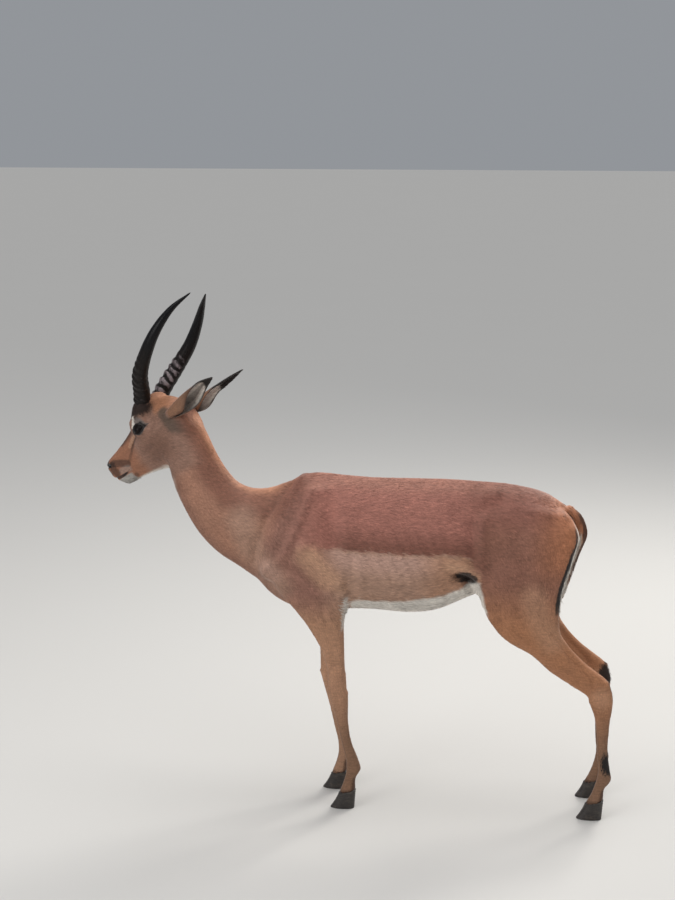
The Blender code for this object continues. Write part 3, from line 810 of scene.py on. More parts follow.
def lidRims(count=96, columns=10):
    # a thin moist edge carried round each eye on the eyeball's surface
    axis, slit, over = lidFrame()
    turn = fullTurn(count)
    alongAngle = lids["halfLength"] * np.cos(turn)
    overAngle = np.sin(turn) * lidOpening(np.cos(turn), np.sin(turn))
    ray = unit(axis + np.tan(alongAngle)[:, None] * slit + np.tan(overAngle)[:, None] * over)
    path = ray * (eyeBall["radius"] + lids["proud"])
    forward = unit(np.roll(path, -1, 0) - np.roll(path, 1, 0))
    across = np.cross(forward, ray)
    spin = fullTurn(columns)[:, None]
    wide, thick = lids["rim"]
    ring = path[:, None] + wide * np.cos(spin) * across[:, None] + thick * np.sin(spin) * ray[:, None]
    quads = gridQuads(count + 1, columns, True) % (count * columns)
    none = np.zeros((0, 3), int)
    return [outward((byEye(ring, side).reshape(-1, 3), quads, none)) for side in sides.values()]


# ---- ears ----

ear = {
    "root": (0.017, 0.04, 1.031),  # forward, sideways, height
    "tip": (-0.134, 0.07, 1.141),
    "halfWidth": 0.0228,
    "wall": 0.003,
    "rootBend": math.radians(168),  # how far each side curls round at the root
    "tipBend": math.radians(58),
    "facing": {"left": (-0.3, 0.46, -0.84), "right": (-0.45, -0.28, -0.85)},
    "opens": {"left": (0.8, 0.26), "right": (0.55, 0.02)},  # where the curl opens out, end and start
    "sag": {"left": 0.003, "right": 0.011},  # how far the middle hangs below a straight line
    "taper": {"left": 0.0, "right": 0.24},  # how much narrower the outer half is
    "blackFrom": {"left": 0.67, "right": 0.5},  # where the dark tip begins
    "pale": {"left": 0.42, "right": 0.8},  # least share of pale hair inside
    "fold": 0.0011,  # height of the long ridges inside
    "ridges": 9.5,  # how closely the ridges follow one another across the leaf
    "length": 0.996,  # share of the leaf that is made, short of its point
    "plug": (0.0125, 0.03),  # radius and half height of the lump that closes the funnel
    "rows": 64,
    "spans": 26,
}


def earFrame(name):
    # root, then unit vectors along, across and out of the ear's mouth, then its length
    side = sides[name]
    facing = ear["facing"][name]
    root = headLevel(ear["root"][0], side * ear["root"][1], ear["root"][2])
    tip = headLevel(ear["tip"][0], side * ear["tip"][1], ear["tip"][2])
    mouth = headLevel(facing[0], side * facing[1], facing[2]) - headLevel(0.0, 0.0, 0.0)
    axis = unit(tip - root)
    mouth = unit(mouth - axis * np.dot(mouth, axis))
    return root, axis, np.cross(axis, mouth), mouth, np.linalg.norm(tip - root)


def earLeaf(name, t, s, depth):
    # t runs root to tip, s from edge to edge (-1 to 1); depth 0 is the back, 1 the inside
    root, axis, across, mouth, length = earFrame(name)
    half = ear["halfWidth"] * (1 - ear["taper"][name] * fade(t, 0.25, 0.6))
    half = half * (0.5 + 1.55 * t**0.8 * (1 - t) ** 0.75) * (1 - t**5) ** 0.8 + 0.001
    bend = ear["tipBend"] + (ear["rootBend"] - ear["tipBend"]) * fade(t, *ear["opens"][name])
    radius = half / np.sin(np.minimum(bend, math.pi / 2) * 0.98)
    wall = ear["wall"] * (1 - 0.45 * t) * (1 - 0.6 * np.abs(s) ** 4)
    folds = ear["fold"] * np.cos(s * ear["ridges"]) * fade(np.abs(s), 0.95, 0.6)
    folds = folds * fade(t, 0.08, 0.25) * fade(t, 0.95, 0.6)
    out = radius - 0.0006 - depth * (wall + folds)
    turn = bend * s
    ray = across * np.sin(turn)[..., None] - mouth * np.cos(turn)[..., None]
    middle = root + axis * (length * t)[..., None] + mouth * (radius * 0.25)[..., None]
    middle[..., 2] -= ear["sag"][name] * np.sin(math.pi * t)
    return middle + ray * np.maximum(out, radius * 0.35)[..., None]


def earPlaces():
    # the leaf's own grid: out along the back, then home along the inside
    t, s = np.linspace(0.0, ear["length"], ear["rows"]), np.linspace(-1, 1, ear["spans"])
    return np.meshgrid(t, s, indexing="ij")


def earSurface(name):
    t, s = earPlaces()
    back, inside = earLeaf(name, t, s, 0.0), earLeaf(name, t, s, 1.0)
    return tube(np.concatenate([back, inside[:, ::-1]], axis=1))


def earGrid():
    # t, s and inside (0 or 1) of every vertex that earSurface makes, its two end points last
    t, s = earPlaces()
    inside = np.concatenate([0 * s, 0 * s + 1], axis=1)
    t, s = np.concatenate([t, t], axis=1), np.concatenate([s, s[:, ::-1]], axis=1)
    ends = ((t, (0.0, ear["length"])), (s, (0.0, 0.0)), (inside, (0.0, 0.0)))
    return [np.concatenate([grid.ravel(), last]) for grid, last in ends]


def earPlug(name):
    # closes the bottom of the funnel inside the curled root
    root, axis, across, mouth = earFrame(name)[:4]
    radius, high = ear["plug"]
    lat = np.linspace(0.05, math.pi - 0.05, 14)[:, None, None]
    lon = fullTurn(24)[:, None]
    spoke = np.cos(lon) * across + np.sin(lon) * mouth
    middle = root + axis * 0.006 + mouth * 0.003
    return tube(middle + radius * np.sin(lat) * spoke + high * np.cos(lat) * axis)


# ---- one skin ----

softBody = melted(
    "softBody",
    [ribbed(trunkRibs, 48, 32), ribbed(neckRibs, 30, 24)] + upperLegs() + headLumps(),
    skinValues["softVoxel"], skinValues["softPasses"], finer=1,
)
softHead = melted(
    "softHead", headLumps() + [ribbed(neckRibs, 30, 24)],
    skinValues["headVoxel"], skinValues["headPasses"], finer=1,
)
fineBody = melted(
    "fineBody", [softBody, softHead, ribbed(tailRibs, 40, 20)] + lowerLegs(),
    skinValues["bodyFine"], skinValues["bodyFinePasses"],
)
fineHead = melted(
    "fineHead", [softHead] + [earPlug(name) for name in sides],
    skinValues["headFine"], skinValues["headFinePasses"],
)
skinSurface = stitched(fineBody, fineHead)


def normalsOf(surface):
    return pointsOf(newMesh("measured", surface), "normal")


def shapedSkin(surface):
    # every point moves along its normal by the relief less the depth of the coat, then the eyes open
    verts, quads, tris = surface
    normals = normalsOf(surface)
    move = bodyRelief(verts, normals) * fade(toHead(verts)[0], 0.06, -0.02)
    move += faceRelief(verts) - coatDepth(verts)
    return openedEyes(verts + normals * move[:, None]), quads, tris


def thinned(surface, ratio, keepFine):
    # fewer faces where keepFine is low
    piece = newPiece("thinned", surface)
    group = piece.vertex_groups.new(name="coarse")
    for level in np.linspace(0.0, 1.0, 9):
        members = np.nonzero(np.round((1 - keepFine) * 8) == round(level * 8))[0]
        group.add(members.tolist(), float(level), "REPLACE")
    thin = piece.modifiers.new("thin", "DECIMATE")
    thin.ratio = ratio
    thin.vertex_group = "coarse"
    result = surfaceOf(applied(piece).data)
    bpy.data.objects.remove(piece)
    return result


skinSurface = shapedSkin(skinSurface)
headward = (skinSurface[0][:, 0] < -0.37) & (skinSurface[0][:, 2] > 0.82)
onLegs = fade(skinSurface[0][:, 2], 0.5, 0.36)
keepFine = np.where(headward, skinValues["headKept"], onLegs * skinValues["legsKept"])
skinSurface = thinned(skinSurface, skinValues["kept"], keepFine)


# ---- markings, with painted light and shade ----
# One paint for skin and coat: every mark is worked out from where the hair is rooted.

palette = {
    "saddle": (0.395, 0.162, 0.122),
    # dark red-brown: the neck's top, and painted shade on the lower saddle, upward-facing hair, the thigh's
    # front and the neck's front
    "darkSaddleAndShade": (0.195, 0.076, 0.05),
    "spine": (0.33, 0.15, 0.1),
    "flank": (0.435, 0.262, 0.186),
    # painted highlight: pale pink-tan of the lit flank below the saddle and of the shoulder point
    "litFlank": (0.585, 0.36, 0.285),
    "hind": (0.47, 0.212, 0.098),
    "white": (0.78, 0.73, 0.66),
    "shoulder": (0.31, 0.15, 0.108),
    "neck": (0.405, 0.203, 0.132),
    "nape": (0.54, 0.24, 0.13),
    "throat": (0.37, 0.23, 0.17),
    "thigh": (0.29, 0.13, 0.088),
    "rump": (0.46, 0.185, 0.092),
    "leg": (0.485, 0.26, 0.156),
    "legLow": (0.25, 0.136, 0.08),
    "tan": (0.575, 0.33, 0.208),
    "face": (0.31, 0.172, 0.122),
    "cheek": (0.162, 0.076, 0.048),
    "muzzle": (0.34, 0.15, 0.085),
    "bridge": (0.1, 0.045, 0.028),
    "crown": (0.4, 0.182, 0.098),
    "brown": (0.075, 0.032, 0.018),
    "grey": (0.12, 0.08, 0.058),
    "lidGrey": (0.17, 0.155, 0.148),
    "brow": (0.016, 0.007, 0.005),
    # white greyed as painted shade under the muzzle, for chin and pale lip
    "chin": (0.38, 0.355, 0.325),
    "black": (0.016, 0.012, 0.011),
    "earInside": (0.76, 0.66, 0.59),
    "earShade": (0.105, 0.08, 0.066),
    "earBack": (0.3, 0.15, 0.085),
}
# Edges and half widths that change along a mark: the place, then the value there.
edges = {
    # x, height
    "saddle": [
        (-0.1, 0.7), (-0.03, 0.713), (0.02, 0.708), (0.061, 0.705),
        (0.161, 0.702), (0.266, 0.702), (0.329, 0.7), (0.36, 0.686),
    ],
    "belly": [
        (-0.06, 0.535), (0.0, 0.546), (0.045, 0.567), (0.169, 0.571),
        (0.27, 0.588), (0.32, 0.607), (0.345, 0.622), (0.37, 0.63),
    ],
    # height, place across the rear corner
    "breech": [(0.558, 0.341), (0.6, 0.346), (0.651, 0.3578), (0.702, 0.3718), (0.752, 0.386)],
    # along the face, half width
    "bridge": [(0.1, 0.01), (0.125, 0.017), (0.15, 0.025), (0.18, 0.0205), (0.207, 0.0175), (0.24, 0.002)],
    "mouth": [(0.215, 0.0015), (0.225, 0.0022), (0.24, 0.0036), (0.256, 0.0034), (0.28, 0.0018)],
}
# Marks drawn along a line: its points, how far from it the mark ends and how near it is full.
strokes = {
    # side view: x, z
    "gaskin": ([(0.505, 0.6), (0.523, 0.54), (0.555, 0.49)], 0.055, 0.01),
    # painted shade down the front of the thigh
    "thighFrontShade": ([(0.36, 0.775), (0.366, 0.685)], 0.032, 0.006),
    # painted highlight on the triceps
    "triceps": ([(-0.075, 0.692), (-0.05, 0.66), (-0.02, 0.628)], 0.042, 0.008),
    # painted shadow in the hollow under the flank's fold
    "hollow": ([(0.324, 0.641), (0.334, 0.64), (0.345, 0.634)], 0.019, 0.015),
    # painted highlights on the chest and the shoulder point
    "chest": ([(-0.245, 0.765), (-0.215, 0.69), (-0.18, 0.648), (-0.15, 0.61)], 0.062, 0.01),
    "shoulderPoint": ([(-0.175, 0.655), (-0.16, 0.64)], 0.034, 0.006),
    # the head from its side: along, up
    "brow": ([(0.122, 0.1), (0.104, 0.09), (0.084, 0.087), (0.067, 0.084)], 0.028, 0.012),
    "lipBand": ([(0.256, 0.002), (0.23, -0.009), (0.208, -0.018)], 0.012, 0.0075),
    "lipFront": ([(0.264, 0.0), (0.263, -0.018), (0.257, -0.026)], 0.014, 0.0085),
    "paleLip": ([(0.215, -0.03), (0.239, -0.027)], 0.014, 0.004),
    # the head: along, sideways, up
    "earFoot": ([(0.024, 0.041, 0.045), (0.012, 0.045, 0.004), (-0.002, 0.043, -0.006)], 0.024, 0.009),
    "tear": (
        [(0.124, 0.05, 0.032), (0.145, 0.034, 0.029), (0.163, 0.029, 0.017), (0.18, 0.029, 0.001),
         (0.202, 0.027, -0.016)], 0.007, 0.0025,
    ),
    "besideTear": ([(0.138, 0.034, 0.038), (0.16, 0.026, 0.03), (0.18, 0.024, 0.018)], 0.008, 0.003),
    "crescent": ([(0.1195, 0.055, 0.05), (0.114, 0.055, 0.062), (0.107, 0.054, 0.0735)], 0.0054, 0.0026),
    "eyeCorner": ([(0.094, 0.047, 0.037), (0.086, 0.048, 0.041)], 0.0052, 0.003),
    "nostril": (faceForms["nostril"][0], 0.0075, 0.005),
}
# Painted highlights along the flank's fold and the elbow: points in the side view and the width of the glow
# round them.
glows = {
    "fold": ([(0.29, 0.672), (0.335, 0.658), (0.36, 0.64)], 0.014),
    "elbow": ([(-0.055, 0.7), (-0.02, 0.66), (0.018, 0.606)], 0.02),
}
# Round marks: the middle of each.
spots = {"paleHock": (0.685, 0.335), "hock": (0.708, 0.066, 0.352), "behindChin": (0.208, 0.016, -0.054)}


def edgeAt(place, name):
    return np.interp(place, *np.array(edges[name]).T)


def stroke(points, name, waver=0.0):
    # 1 near the stroke's line, 0 beyond its reach; waver moves its edge in and out
    path, reach, full = strokes[name]
    return fade(gapTo(points, path) + waver, reach, full)


def glow(points, name):
    path, width = glows[name]
    return hump(gapTo(points, path), width)


def fromSpot(points, middle):
    return np.linalg.norm(points - np.array(middle), axis=1)


def plain(name, count):
    return np.tile(np.array(palette[name]), (count, 1))


def painted(colour, *layers):
    # the palette's colours laid on in turn, each as far as its mask reaches
    for name, mask in layers:
        colour = colour + (np.array(palette[name]) - colour) * np.clip(mask, 0, 1)[:, None]
    return colour


def aheadOfShoulder(x, z):
    # distance ahead of the slanting line where the neck begins
    return (x + 0.165) * -0.93 + (z - 0.775) * 0.37


def rearPlace(x, z, wide):
    # distance behind the buttock's stripe, measured square to the rear corner of the body
    return (x - wide) / math.sqrt(2) - edgeAt(z, "breech")


def trunkPaint(flat, legFlat, normals, rough):
    # dark saddle above the flank and the haunch; painted shade on the lower saddle, upward-facing hair and
    # the thigh's front; painted highlights on the flank below the saddle, the flank's fold, the elbow and the
    # triceps
    x, z = flat.T
    onTrunk = fade(x, -0.055, 0.035)
    above = z - edgeAt(x, "saddle") + rough
    below = fade(above, 0.0, -0.012) * onTrunk
    top = fade(normals[:, 2], 0.45, 0.95) * fade(z, 0.8, 0.86)
    haunch = fade(x + 0.25 * (0.7 - z), 0.335, 0.365) * fade(z, 0.84, 0.74)
    # painted shade on upward-facing hair over the haunch and at the front of the shoulders
    shadedBack = np.maximum(fade(x, 0.3, 0.36) * fade(x, 0.58, 0.5), fade(x, -0.05, -0.09))
    upwardShade = fade(normals[:, 2], 0.1, 0.6) * shadedBack
    return painted(
        plain("shoulder", len(x)),
        ("flank", onTrunk),
        ("saddle", fade(above, -0.005, 0.006) * fade(x, -0.16, -0.02)),
        # painted shade: the saddle darkens towards its lower edge
        ("darkSaddleAndShade", 0.85 * fade(above, -0.005, 0.004) * fade(above, 0.075, 0.0) * onTrunk),
        # painted highlight: the flank just below the saddle is lighter
        ("litFlank", 0.85 * below * fade(above, -0.085, -0.02) * fade(x, 0.3, 0.2)),
        ("hind", 0.4 * below * fade(x, 0.18, 0.29)),
        ("spine", 0.6 * top),
        ("thigh", haunch),
        ("rump", fade(x, 0.47, 0.6) * fade(z, 0.6, 0.7)),
        ("hind", fade(x, 0.3, 0.36) * fade(z, 0.66, 0.5) * 0.8),
        # painted shade on upward-facing hair
        ("darkSaddleAndShade", 0.55 * upwardShade * fade(z, 0.74, 0.79)),
        ("tan", 0.45 * stroke(flat, "gaskin")),
        # painted shade down the front of the thigh
        ("darkSaddleAndShade", 0.5 * stroke(flat, "thighFrontShade")),
        # painted highlights on the flank's fold, the elbow and the triceps
        ("tan", 0.85 * glow(flat, "fold") * (x < 0.37)),
        ("tan", 0.55 * glow(legFlat, "elbow")),
        ("tan", 0.65 * stroke(legFlat, "triceps")),
    )


def legPaint(body, x, z, legX, wide, outwards, normals):
    # shanks darken downwards; white on the inner sides and behind the elbow
    inner = fade(-outwards, 0.05, 0.45) * fade(wide, 0.085, 0.07)
    hindPart = (x > 0.3) * 1.0
    whiteInside = (0.95 - 0.55 * hindPart) * inner * fade(z, 0.38 + 0.1 * hindPart, 0.47 + 0.08 * hindPart)
    behind = fade(normals[:, 0], 0.15, 0.55) * fade(legX, 0.012, 0.018) * fade(legX, 0.033, 0.026)
    return painted(
        body,
        ("leg", (x < 0.2) * fade(z, 0.6, 0.5)),
        ("legLow", fade(z, 0.36, 0.16)),
        ("white", whiteInside * fade(z, 0.7, 0.66)),
        ("tan", 0.5 * inner * fade(z, 0.47, 0.4) * (1 - hindPart)),
        ("white", 0.9 * behind * fade(z, 0.49, 0.51) * fade(z, 0.584, 0.57)),
    )


def bellyPaint(body, flat, legX, side, wide, outwards, normals, rough):
    # white below the flank's edge and between the legs; painted shadow in the hollow under the flank's fold
    x, z = flat.T
    under = edgeAt(x, "belly") - z + 0.5 * rough
    onBelly = fade(x, -0.06, -0.005) * fade(x, 0.372, 0.364)
    offLeg = np.maximum(fade(legX, 0.03, 0.038), fade(wide, 0.05, 0.04))
    onBelly = onBelly * offLeg * fade(z, 0.495, 0.505)
    between = fade(wide, 0.045, 0.03) * fade(z, 0.62, 0.59) * fade(-normals[:, 2], -0.1, 0.4)
    front = fade(-normals[:, 0], 0.25, 0.6) * fade(-outwards, -0.76, -0.5) * (x > 0.3)
    return painted(
        body,
        ("white", fade(under, -0.004, 0.005) * onBelly * (x < 0.4)),
        ("white", between * fade(x, -0.12, -0.07) * fade(x, 0.6, 0.5)),
        ("white", front * fade(z, 0.535, 0.56) * fade(z, 0.65, 0.632) * (x < 0.41)),
        # painted shadow in the hollow under the flank's fold, fainter on the right
        ("black", 0.95 * stroke(flat, "hollow") * fade(wide, 0.035, 0.05) * np.where(side < 0, 1.0, 0.35)),
    )


def rumpPaint(body, x, z, wide, outwards, rough):
    # a black stripe down each buttock, white between them
    fromStripe = rearPlace(x, z, wide)
    rear = (x > 0.5) * (z > 0.53)
    rearWhite = rear * fade(fromStripe, 0.002, 0.008) * fade(z, 0.535, 0.575) * fade(z, 0.79, 0.752)
    stripeHalf = 0.0028 + 0.0044 * fade(z, 0.745, 0.67)
    stripe = fade(np.abs(fromStripe + 0.3 * rough) - stripeHalf, 0.0025, -0.001)
    stripe = rear * stripe * fade(z, 0.548, 0.562) * fade(z, 0.776, 0.764) * (outwards > -0.2)
    return painted(body, ("white", rearWhite), ("black", stripe))


def footPaint(body, points, flat, side, outwards, normals):
    # pale and black on the hock, the black gland tuft, brown heel and hairline
    z = flat[:, 1]
    ahead, across, height = spots["hock"]
    hock = fromSpot(points, vectors(ahead, side * across, height)) + 0.005 * ripple(points, 0.012, 11)
    gland = np.hypot((z - 0.154) / 0.029, np.clip(0.8 - normals[:, 0], 0, 2) / 1.15)
    gland = (flat[:, 0] > 0.3) * fade(gland + 0.25 * ripple(points, 0.01, 5), 1.15, 0.85)
    heel = fade(z, 0.092, 0.08) * fade(normals[:, 0], 0.1, 0.6)
    return painted(
        body,
        ("tan", 0.45 * fade(fromSpot(flat, spots["paleHock"]), 0.045, 0.01)),
        ("black", 0.95 * fade(hock, 0.033, 0.024) * fade(-outwards, -0.45, -0.1)),
        ("black", gland),
        ("brown", 0.8 * heel),
        ("brown", 0.7 * fade(z, 0.056, 0.048)),
    )


def tailPaint(body, flat, wide, normals):
    # dark down its back, white at its edges and tip
    x, z = flat.T
    tailPath = middleLine(np.array(tailRibs["rows"]))[:, [0, 2]]
    onTail = (wide < 0.022) * (x > 0.555) * (gapTo(flat, tailPath) < 0.02) * (z < 0.8)
    tail = painted(
        body,
        ("rump", onTail),
        ("tan", 0.7 * onTail * fade(z, 0.77, 0.72) * fade(wide, 0.006, 0.012)),
        ("white", onTail * fade(-normals[:, 0], 0.15, 0.6) * fade(z, 0.77, 0.74)),
        ("white", onTail * fade(z, 0.635, 0.6)),
        ("white", 0.7 * onTail * fade(wide, 0.009, 0.013) * fade(z, 0.74, 0.68)),
        ("brown", 0.9 * onTail * fade(normals[:, 0], 0.25, 0.65) * fade(z, 0.61, 0.64)),
    )
    return np.where(onTail[:, None] > 0, tail, body)


def neckPaint(body, flat, wide, rough):
    # nape and throat by the distance from the neck's two edges; painted shade on the neck's front; chest and
    # shoulder point are paler as painted highlights
    x, z = flat.T
    rows = np.array(neckRibs["rows"])
    topGap, frontGap = gapTo(flat, rows[:, :2]), gapTo(flat, rows[:, 2:4])
    back = fade(topGap, 0.085, 0.045) * fade(topGap, 0.004, 0.018)
    neck = painted(
        body,
        ("neck", np.ones(len(x))),
        ("nape", fade(topGap, 0.045, 0.004) * (0.45 + 0.45 * fade(z, 0.87, 0.93))),
        ("throat", 0.2 * fade(frontGap, 0.05, 0.008) * fade(wide, 0.1, 0.02)),
        ("white", 0.55 * fade(frontGap, 0.016, 0.003) * fade(z, 0.78, 0.88)),
        # painted shade on the front of the neck
        ("darkSaddleAndShade", 0.35 * fade(frontGap, 0.05, 0.015) * fade(z, 0.91, 0.85)),
        ("darkSaddleAndShade", 0.72 * back),
    )
    onNeck = fade(aheadOfShoulder(x, z) + rough, -0.03, 0.03)
    return painted(
        body + (neck - body) * onNeck[:, None],
        # painted highlights on the chest and the shoulder point
        ("flank", 0.75 * stroke(flat, "chest")),
        ("litFlank", 0.45 * stroke(flat, "shoulderPoint")),
    )


def facePaint(colour, points, normals):
    # face, brow, nose, lips, tear line and lids; also how bare the skin is at nose, lips and lids
    along, sideways, up = toHead(points)
    off = np.abs(sideways)
    place = np.stack([along, off, up], axis=1)
    profile = place[:, [0, 2]]
    cheek = fade(np.abs(along - 0.088), 0.085, 0.015) * fade(up, 0.04, -0.02) * fade(up, -0.085, -0.04)
    bridge = fade(off - edgeAt(along, "bridge"), 0.002, -0.003)
    bridge = bridge * fade(up - (0.062 - 0.3 * (along - 0.13)), -0.04, -0.022)
    lip = gapTo(place, faceForms["mouth"][0])
    down = pathPlace(place, strokes["tear"][0])[1]
    measure = nearEye(points)
    forward = np.where(sideways > 0, eyeAngles(points, 1.0)[0], eyeAngles(points, -1.0)[0])
    face = painted(
        colour,
        ("face", np.ones(len(points))),
        ("cheek", cheek * 0.62),
        ("muzzle", fade(along, 0.145, 0.185)),
        ("crown", fade(off, 0.048, 0.034) * fade(along, 0.06, 0.046) * fade(up, 0.04, 0.062)),
        ("bridge", bridge * fade(along, 0.08, 0.11) * fade(along, 0.245, 0.225)),
        ("brow", 0.97 * stroke(profile, "brow", 0.003 * ripple(points, 0.011, 9)) * fade(off, 0.006, 0.014)),
        ("grey", 0.9 * stroke(place, "earFoot")),
        ("bridge", 0.85 * stroke(profile, "lipBand") * fade(off, 0.008, 0.013)),
        ("brow", 0.65 * stroke(profile, "lipFront")),
        # painted shade: the chin's and lip's white greyed under the muzzle
        ("chin", 0.36 * stroke(profile, "paleLip")),
        ("chin", fade(up, -0.0405, -0.044) * fade(along, 0.211, 0.22)),
        ("white", fade(-normals[:, 2], 0.6, 0.9) * fade(up, -0.05, -0.064) * (along < 0.22)),
        ("brown", 0.6 * fade(fromSpot(place, spots["behindChin"]), 0.011, 0.004)),
        ("black", 0.95 * fade(lip - edgeAt(along, "mouth"), 0.0016, 0.0)),
        ("brown", (0.95 - 0.55 * down) * stroke(place, "tear")),
        ("tan", 0.6 * stroke(place, "besideTear")),
        ("lidGrey", 0.85 * fade(measure, 1.48, 1.34)),
        ("white", 0.95 * stroke(place, "crescent")),
        ("black", 0.9 * stroke(place, "eyeCorner")),
        ("black", fade(measure - 0.16 * fade(-forward, 0.6, 1.0), 1.18, 1.11)),
    )
    onHead = onFace(points)
    leather = fade(along, 0.27, 0.2765) * fade(up, -0.027, -0.02) * fade(off, 0.0195, 0.0165)
    leather = np.maximum(leather, stroke(place, "nostril")) * onHead
    bare = np.maximum(leather, onHead * np.maximum(fade(measure, 1.18, 1.12), fade(lip, 0.0024, 0.0012)))
    colour = painted(colour + (face - colour) * onHead[:, None], ("black", leather))
    return np.clip(colour, 0, 1), np.clip(bare, 0, 1)


def coatPaint(points, normals):
    # every part of the body laid over the one before; gives the colour and how bare the skin is
    x, z = points[:, 0], points[:, 2]
    side = np.where(points[:, 1] > 0, 1.0, -1.0)
    wide = np.abs(points[:, 1])
    outwards = normals[:, 1] * side
    rough = 0.0035 * ripple(points, 0.03, 3)
    legX = stepBack(points)
    flat = np.stack([x, z], 1)
    body = trunkPaint(flat, np.stack([legX, z], 1), normals, rough)
    body = legPaint(body, x, z, legX, wide, outwards, normals)
    body = bellyPaint(body, flat, legX, side, wide, outwards, normals, rough)
    body = rumpPaint(body, x, z, wide, outwards, rough)
    body = footPaint(body, points, flat, side, outwards, normals)
    body = tailPaint(body, flat, wide, normals)
    return facePaint(neckPaint(body, flat, wide, rough), points, normals)


def earPaint(name, t, s, inside):
    # inside: pale hair in rows between dark streaks, bare skin with painted shade; outside: brown; black tip
    edge = np.abs(s)
    back = painted(
        plain("earBack", len(t)),
        ("grey", 0.4 * fade(t, 0.2, 0.5)),
        ("brown", 0.85 * fade(t, 0.38, 0.66)),
        ("brown", 0.6 * fade(edge, 0.86, 0.98)),
    )
    rows = np.cos(s * ear["ridges"] + 0.6 * np.sin(t * 5)) * fade(t, 0.05, 0.2)
    least = ear["pale"][name]
    cup = painted(
        plain("earShade", len(t)),
        ("earInside", least + (0.92 - least) * fade(rows, -0.35, 0.25)),
        ("brown", 0.6 * fade(t, 0.22, 0.05)),
        ("white", 0.7 * fade(edge, 0.55, 0.7) * fade(t, 0.2, 0.32) * fade(t, 0.75, 0.55)),
        ("black", 0.85 * fade(edge, 0.84, 0.93) * fade(t, 0.18, 0.35)),
    )
    colour = back + (cup - back) * inside[:, None]
    begins = ear["blackFrom"][name] + 0.04 * inside
    return painted(colour, ("black", fade(t + 0.05 * edge - begins, 0.0, 0.06)))


def setAttribute(mesh, name, values):
    # one number or one colour for every point
    values = np.asarray(values, np.float32)
    if values.ndim == 1:
        mesh.attributes.new(name, "FLOAT", "POINT").data.foreach_set("value", values)
    else:
        full = np.ones((len(values), 4), np.float32)
        full[:, :3] = values
        mesh.attributes.new(name, "FLOAT_COLOR", "POINT").data.foreach_set("color", full.ravel())


# ---- the skin piece ----

skinNormals = normalsOf(skinSurface)
earParts = [earSurface(name) for name in sides]
skin = newPiece("skin", joined([skinSurface] + earParts + lidRims()))
paint, bare = coatPaint(skinSurface[0], skinNormals)
t, s, inside = earGrid()
for name in sides:
    paint = np.concatenate([paint, earPaint(name, t, s, inside)])
    bare = np.concatenate([bare, np.zeros(len(t))])
rest = len(skin.data.vertices) - len(paint)
paint = np.concatenate([paint, plain("black", rest)])
bare = np.concatenate([bare, np.ones(rest)])
setAttribute(skin.data, "coatColour", paint)
setAttribute(skin.data, "bare", bare)
print("skin shaped:", len(skin.data.polygons), "faces")


# ---- horns ----

horn = {
    "rows": [  # forward, sideways, height, radius
        (0.117, 0.028, 1.02, 0.021),
        (0.1, 0.043, 1.07, 0.0212),
        (0.077, 0.078, 1.13, 0.0198),
        (0.046, 0.096, 1.19, 0.0172),
        (0.017, 0.093, 1.25, 0.0134),
        (-0.015, 0.071, 1.305, 0.0082),
        (-0.049, 0.038, 1.344, 0.0022),
    ],
    "steps": 300,
    "columns": 56,
    "ringSpacing": 0.0205,
    "ringHeight": 0.004,
    "ringsEnd": 0.5,  # share of the length that carries rings
    "ringTilt": 0.005,  # the rings rise towards the front by this
    "scale": {"left": 1.004, "right": 0.968},
    "bow": {"left": 0.006, "right": 0.0},  # how much further forward the middle swings
    "grooves": 23,  # fine ridges along the horn
    "grooveDepth": 0.00035,
    "sink": 0.0006,  # how far the mean surface lies inside the radius
    "blunt": 0.014,  # share of the length over which the tip rounds off
}


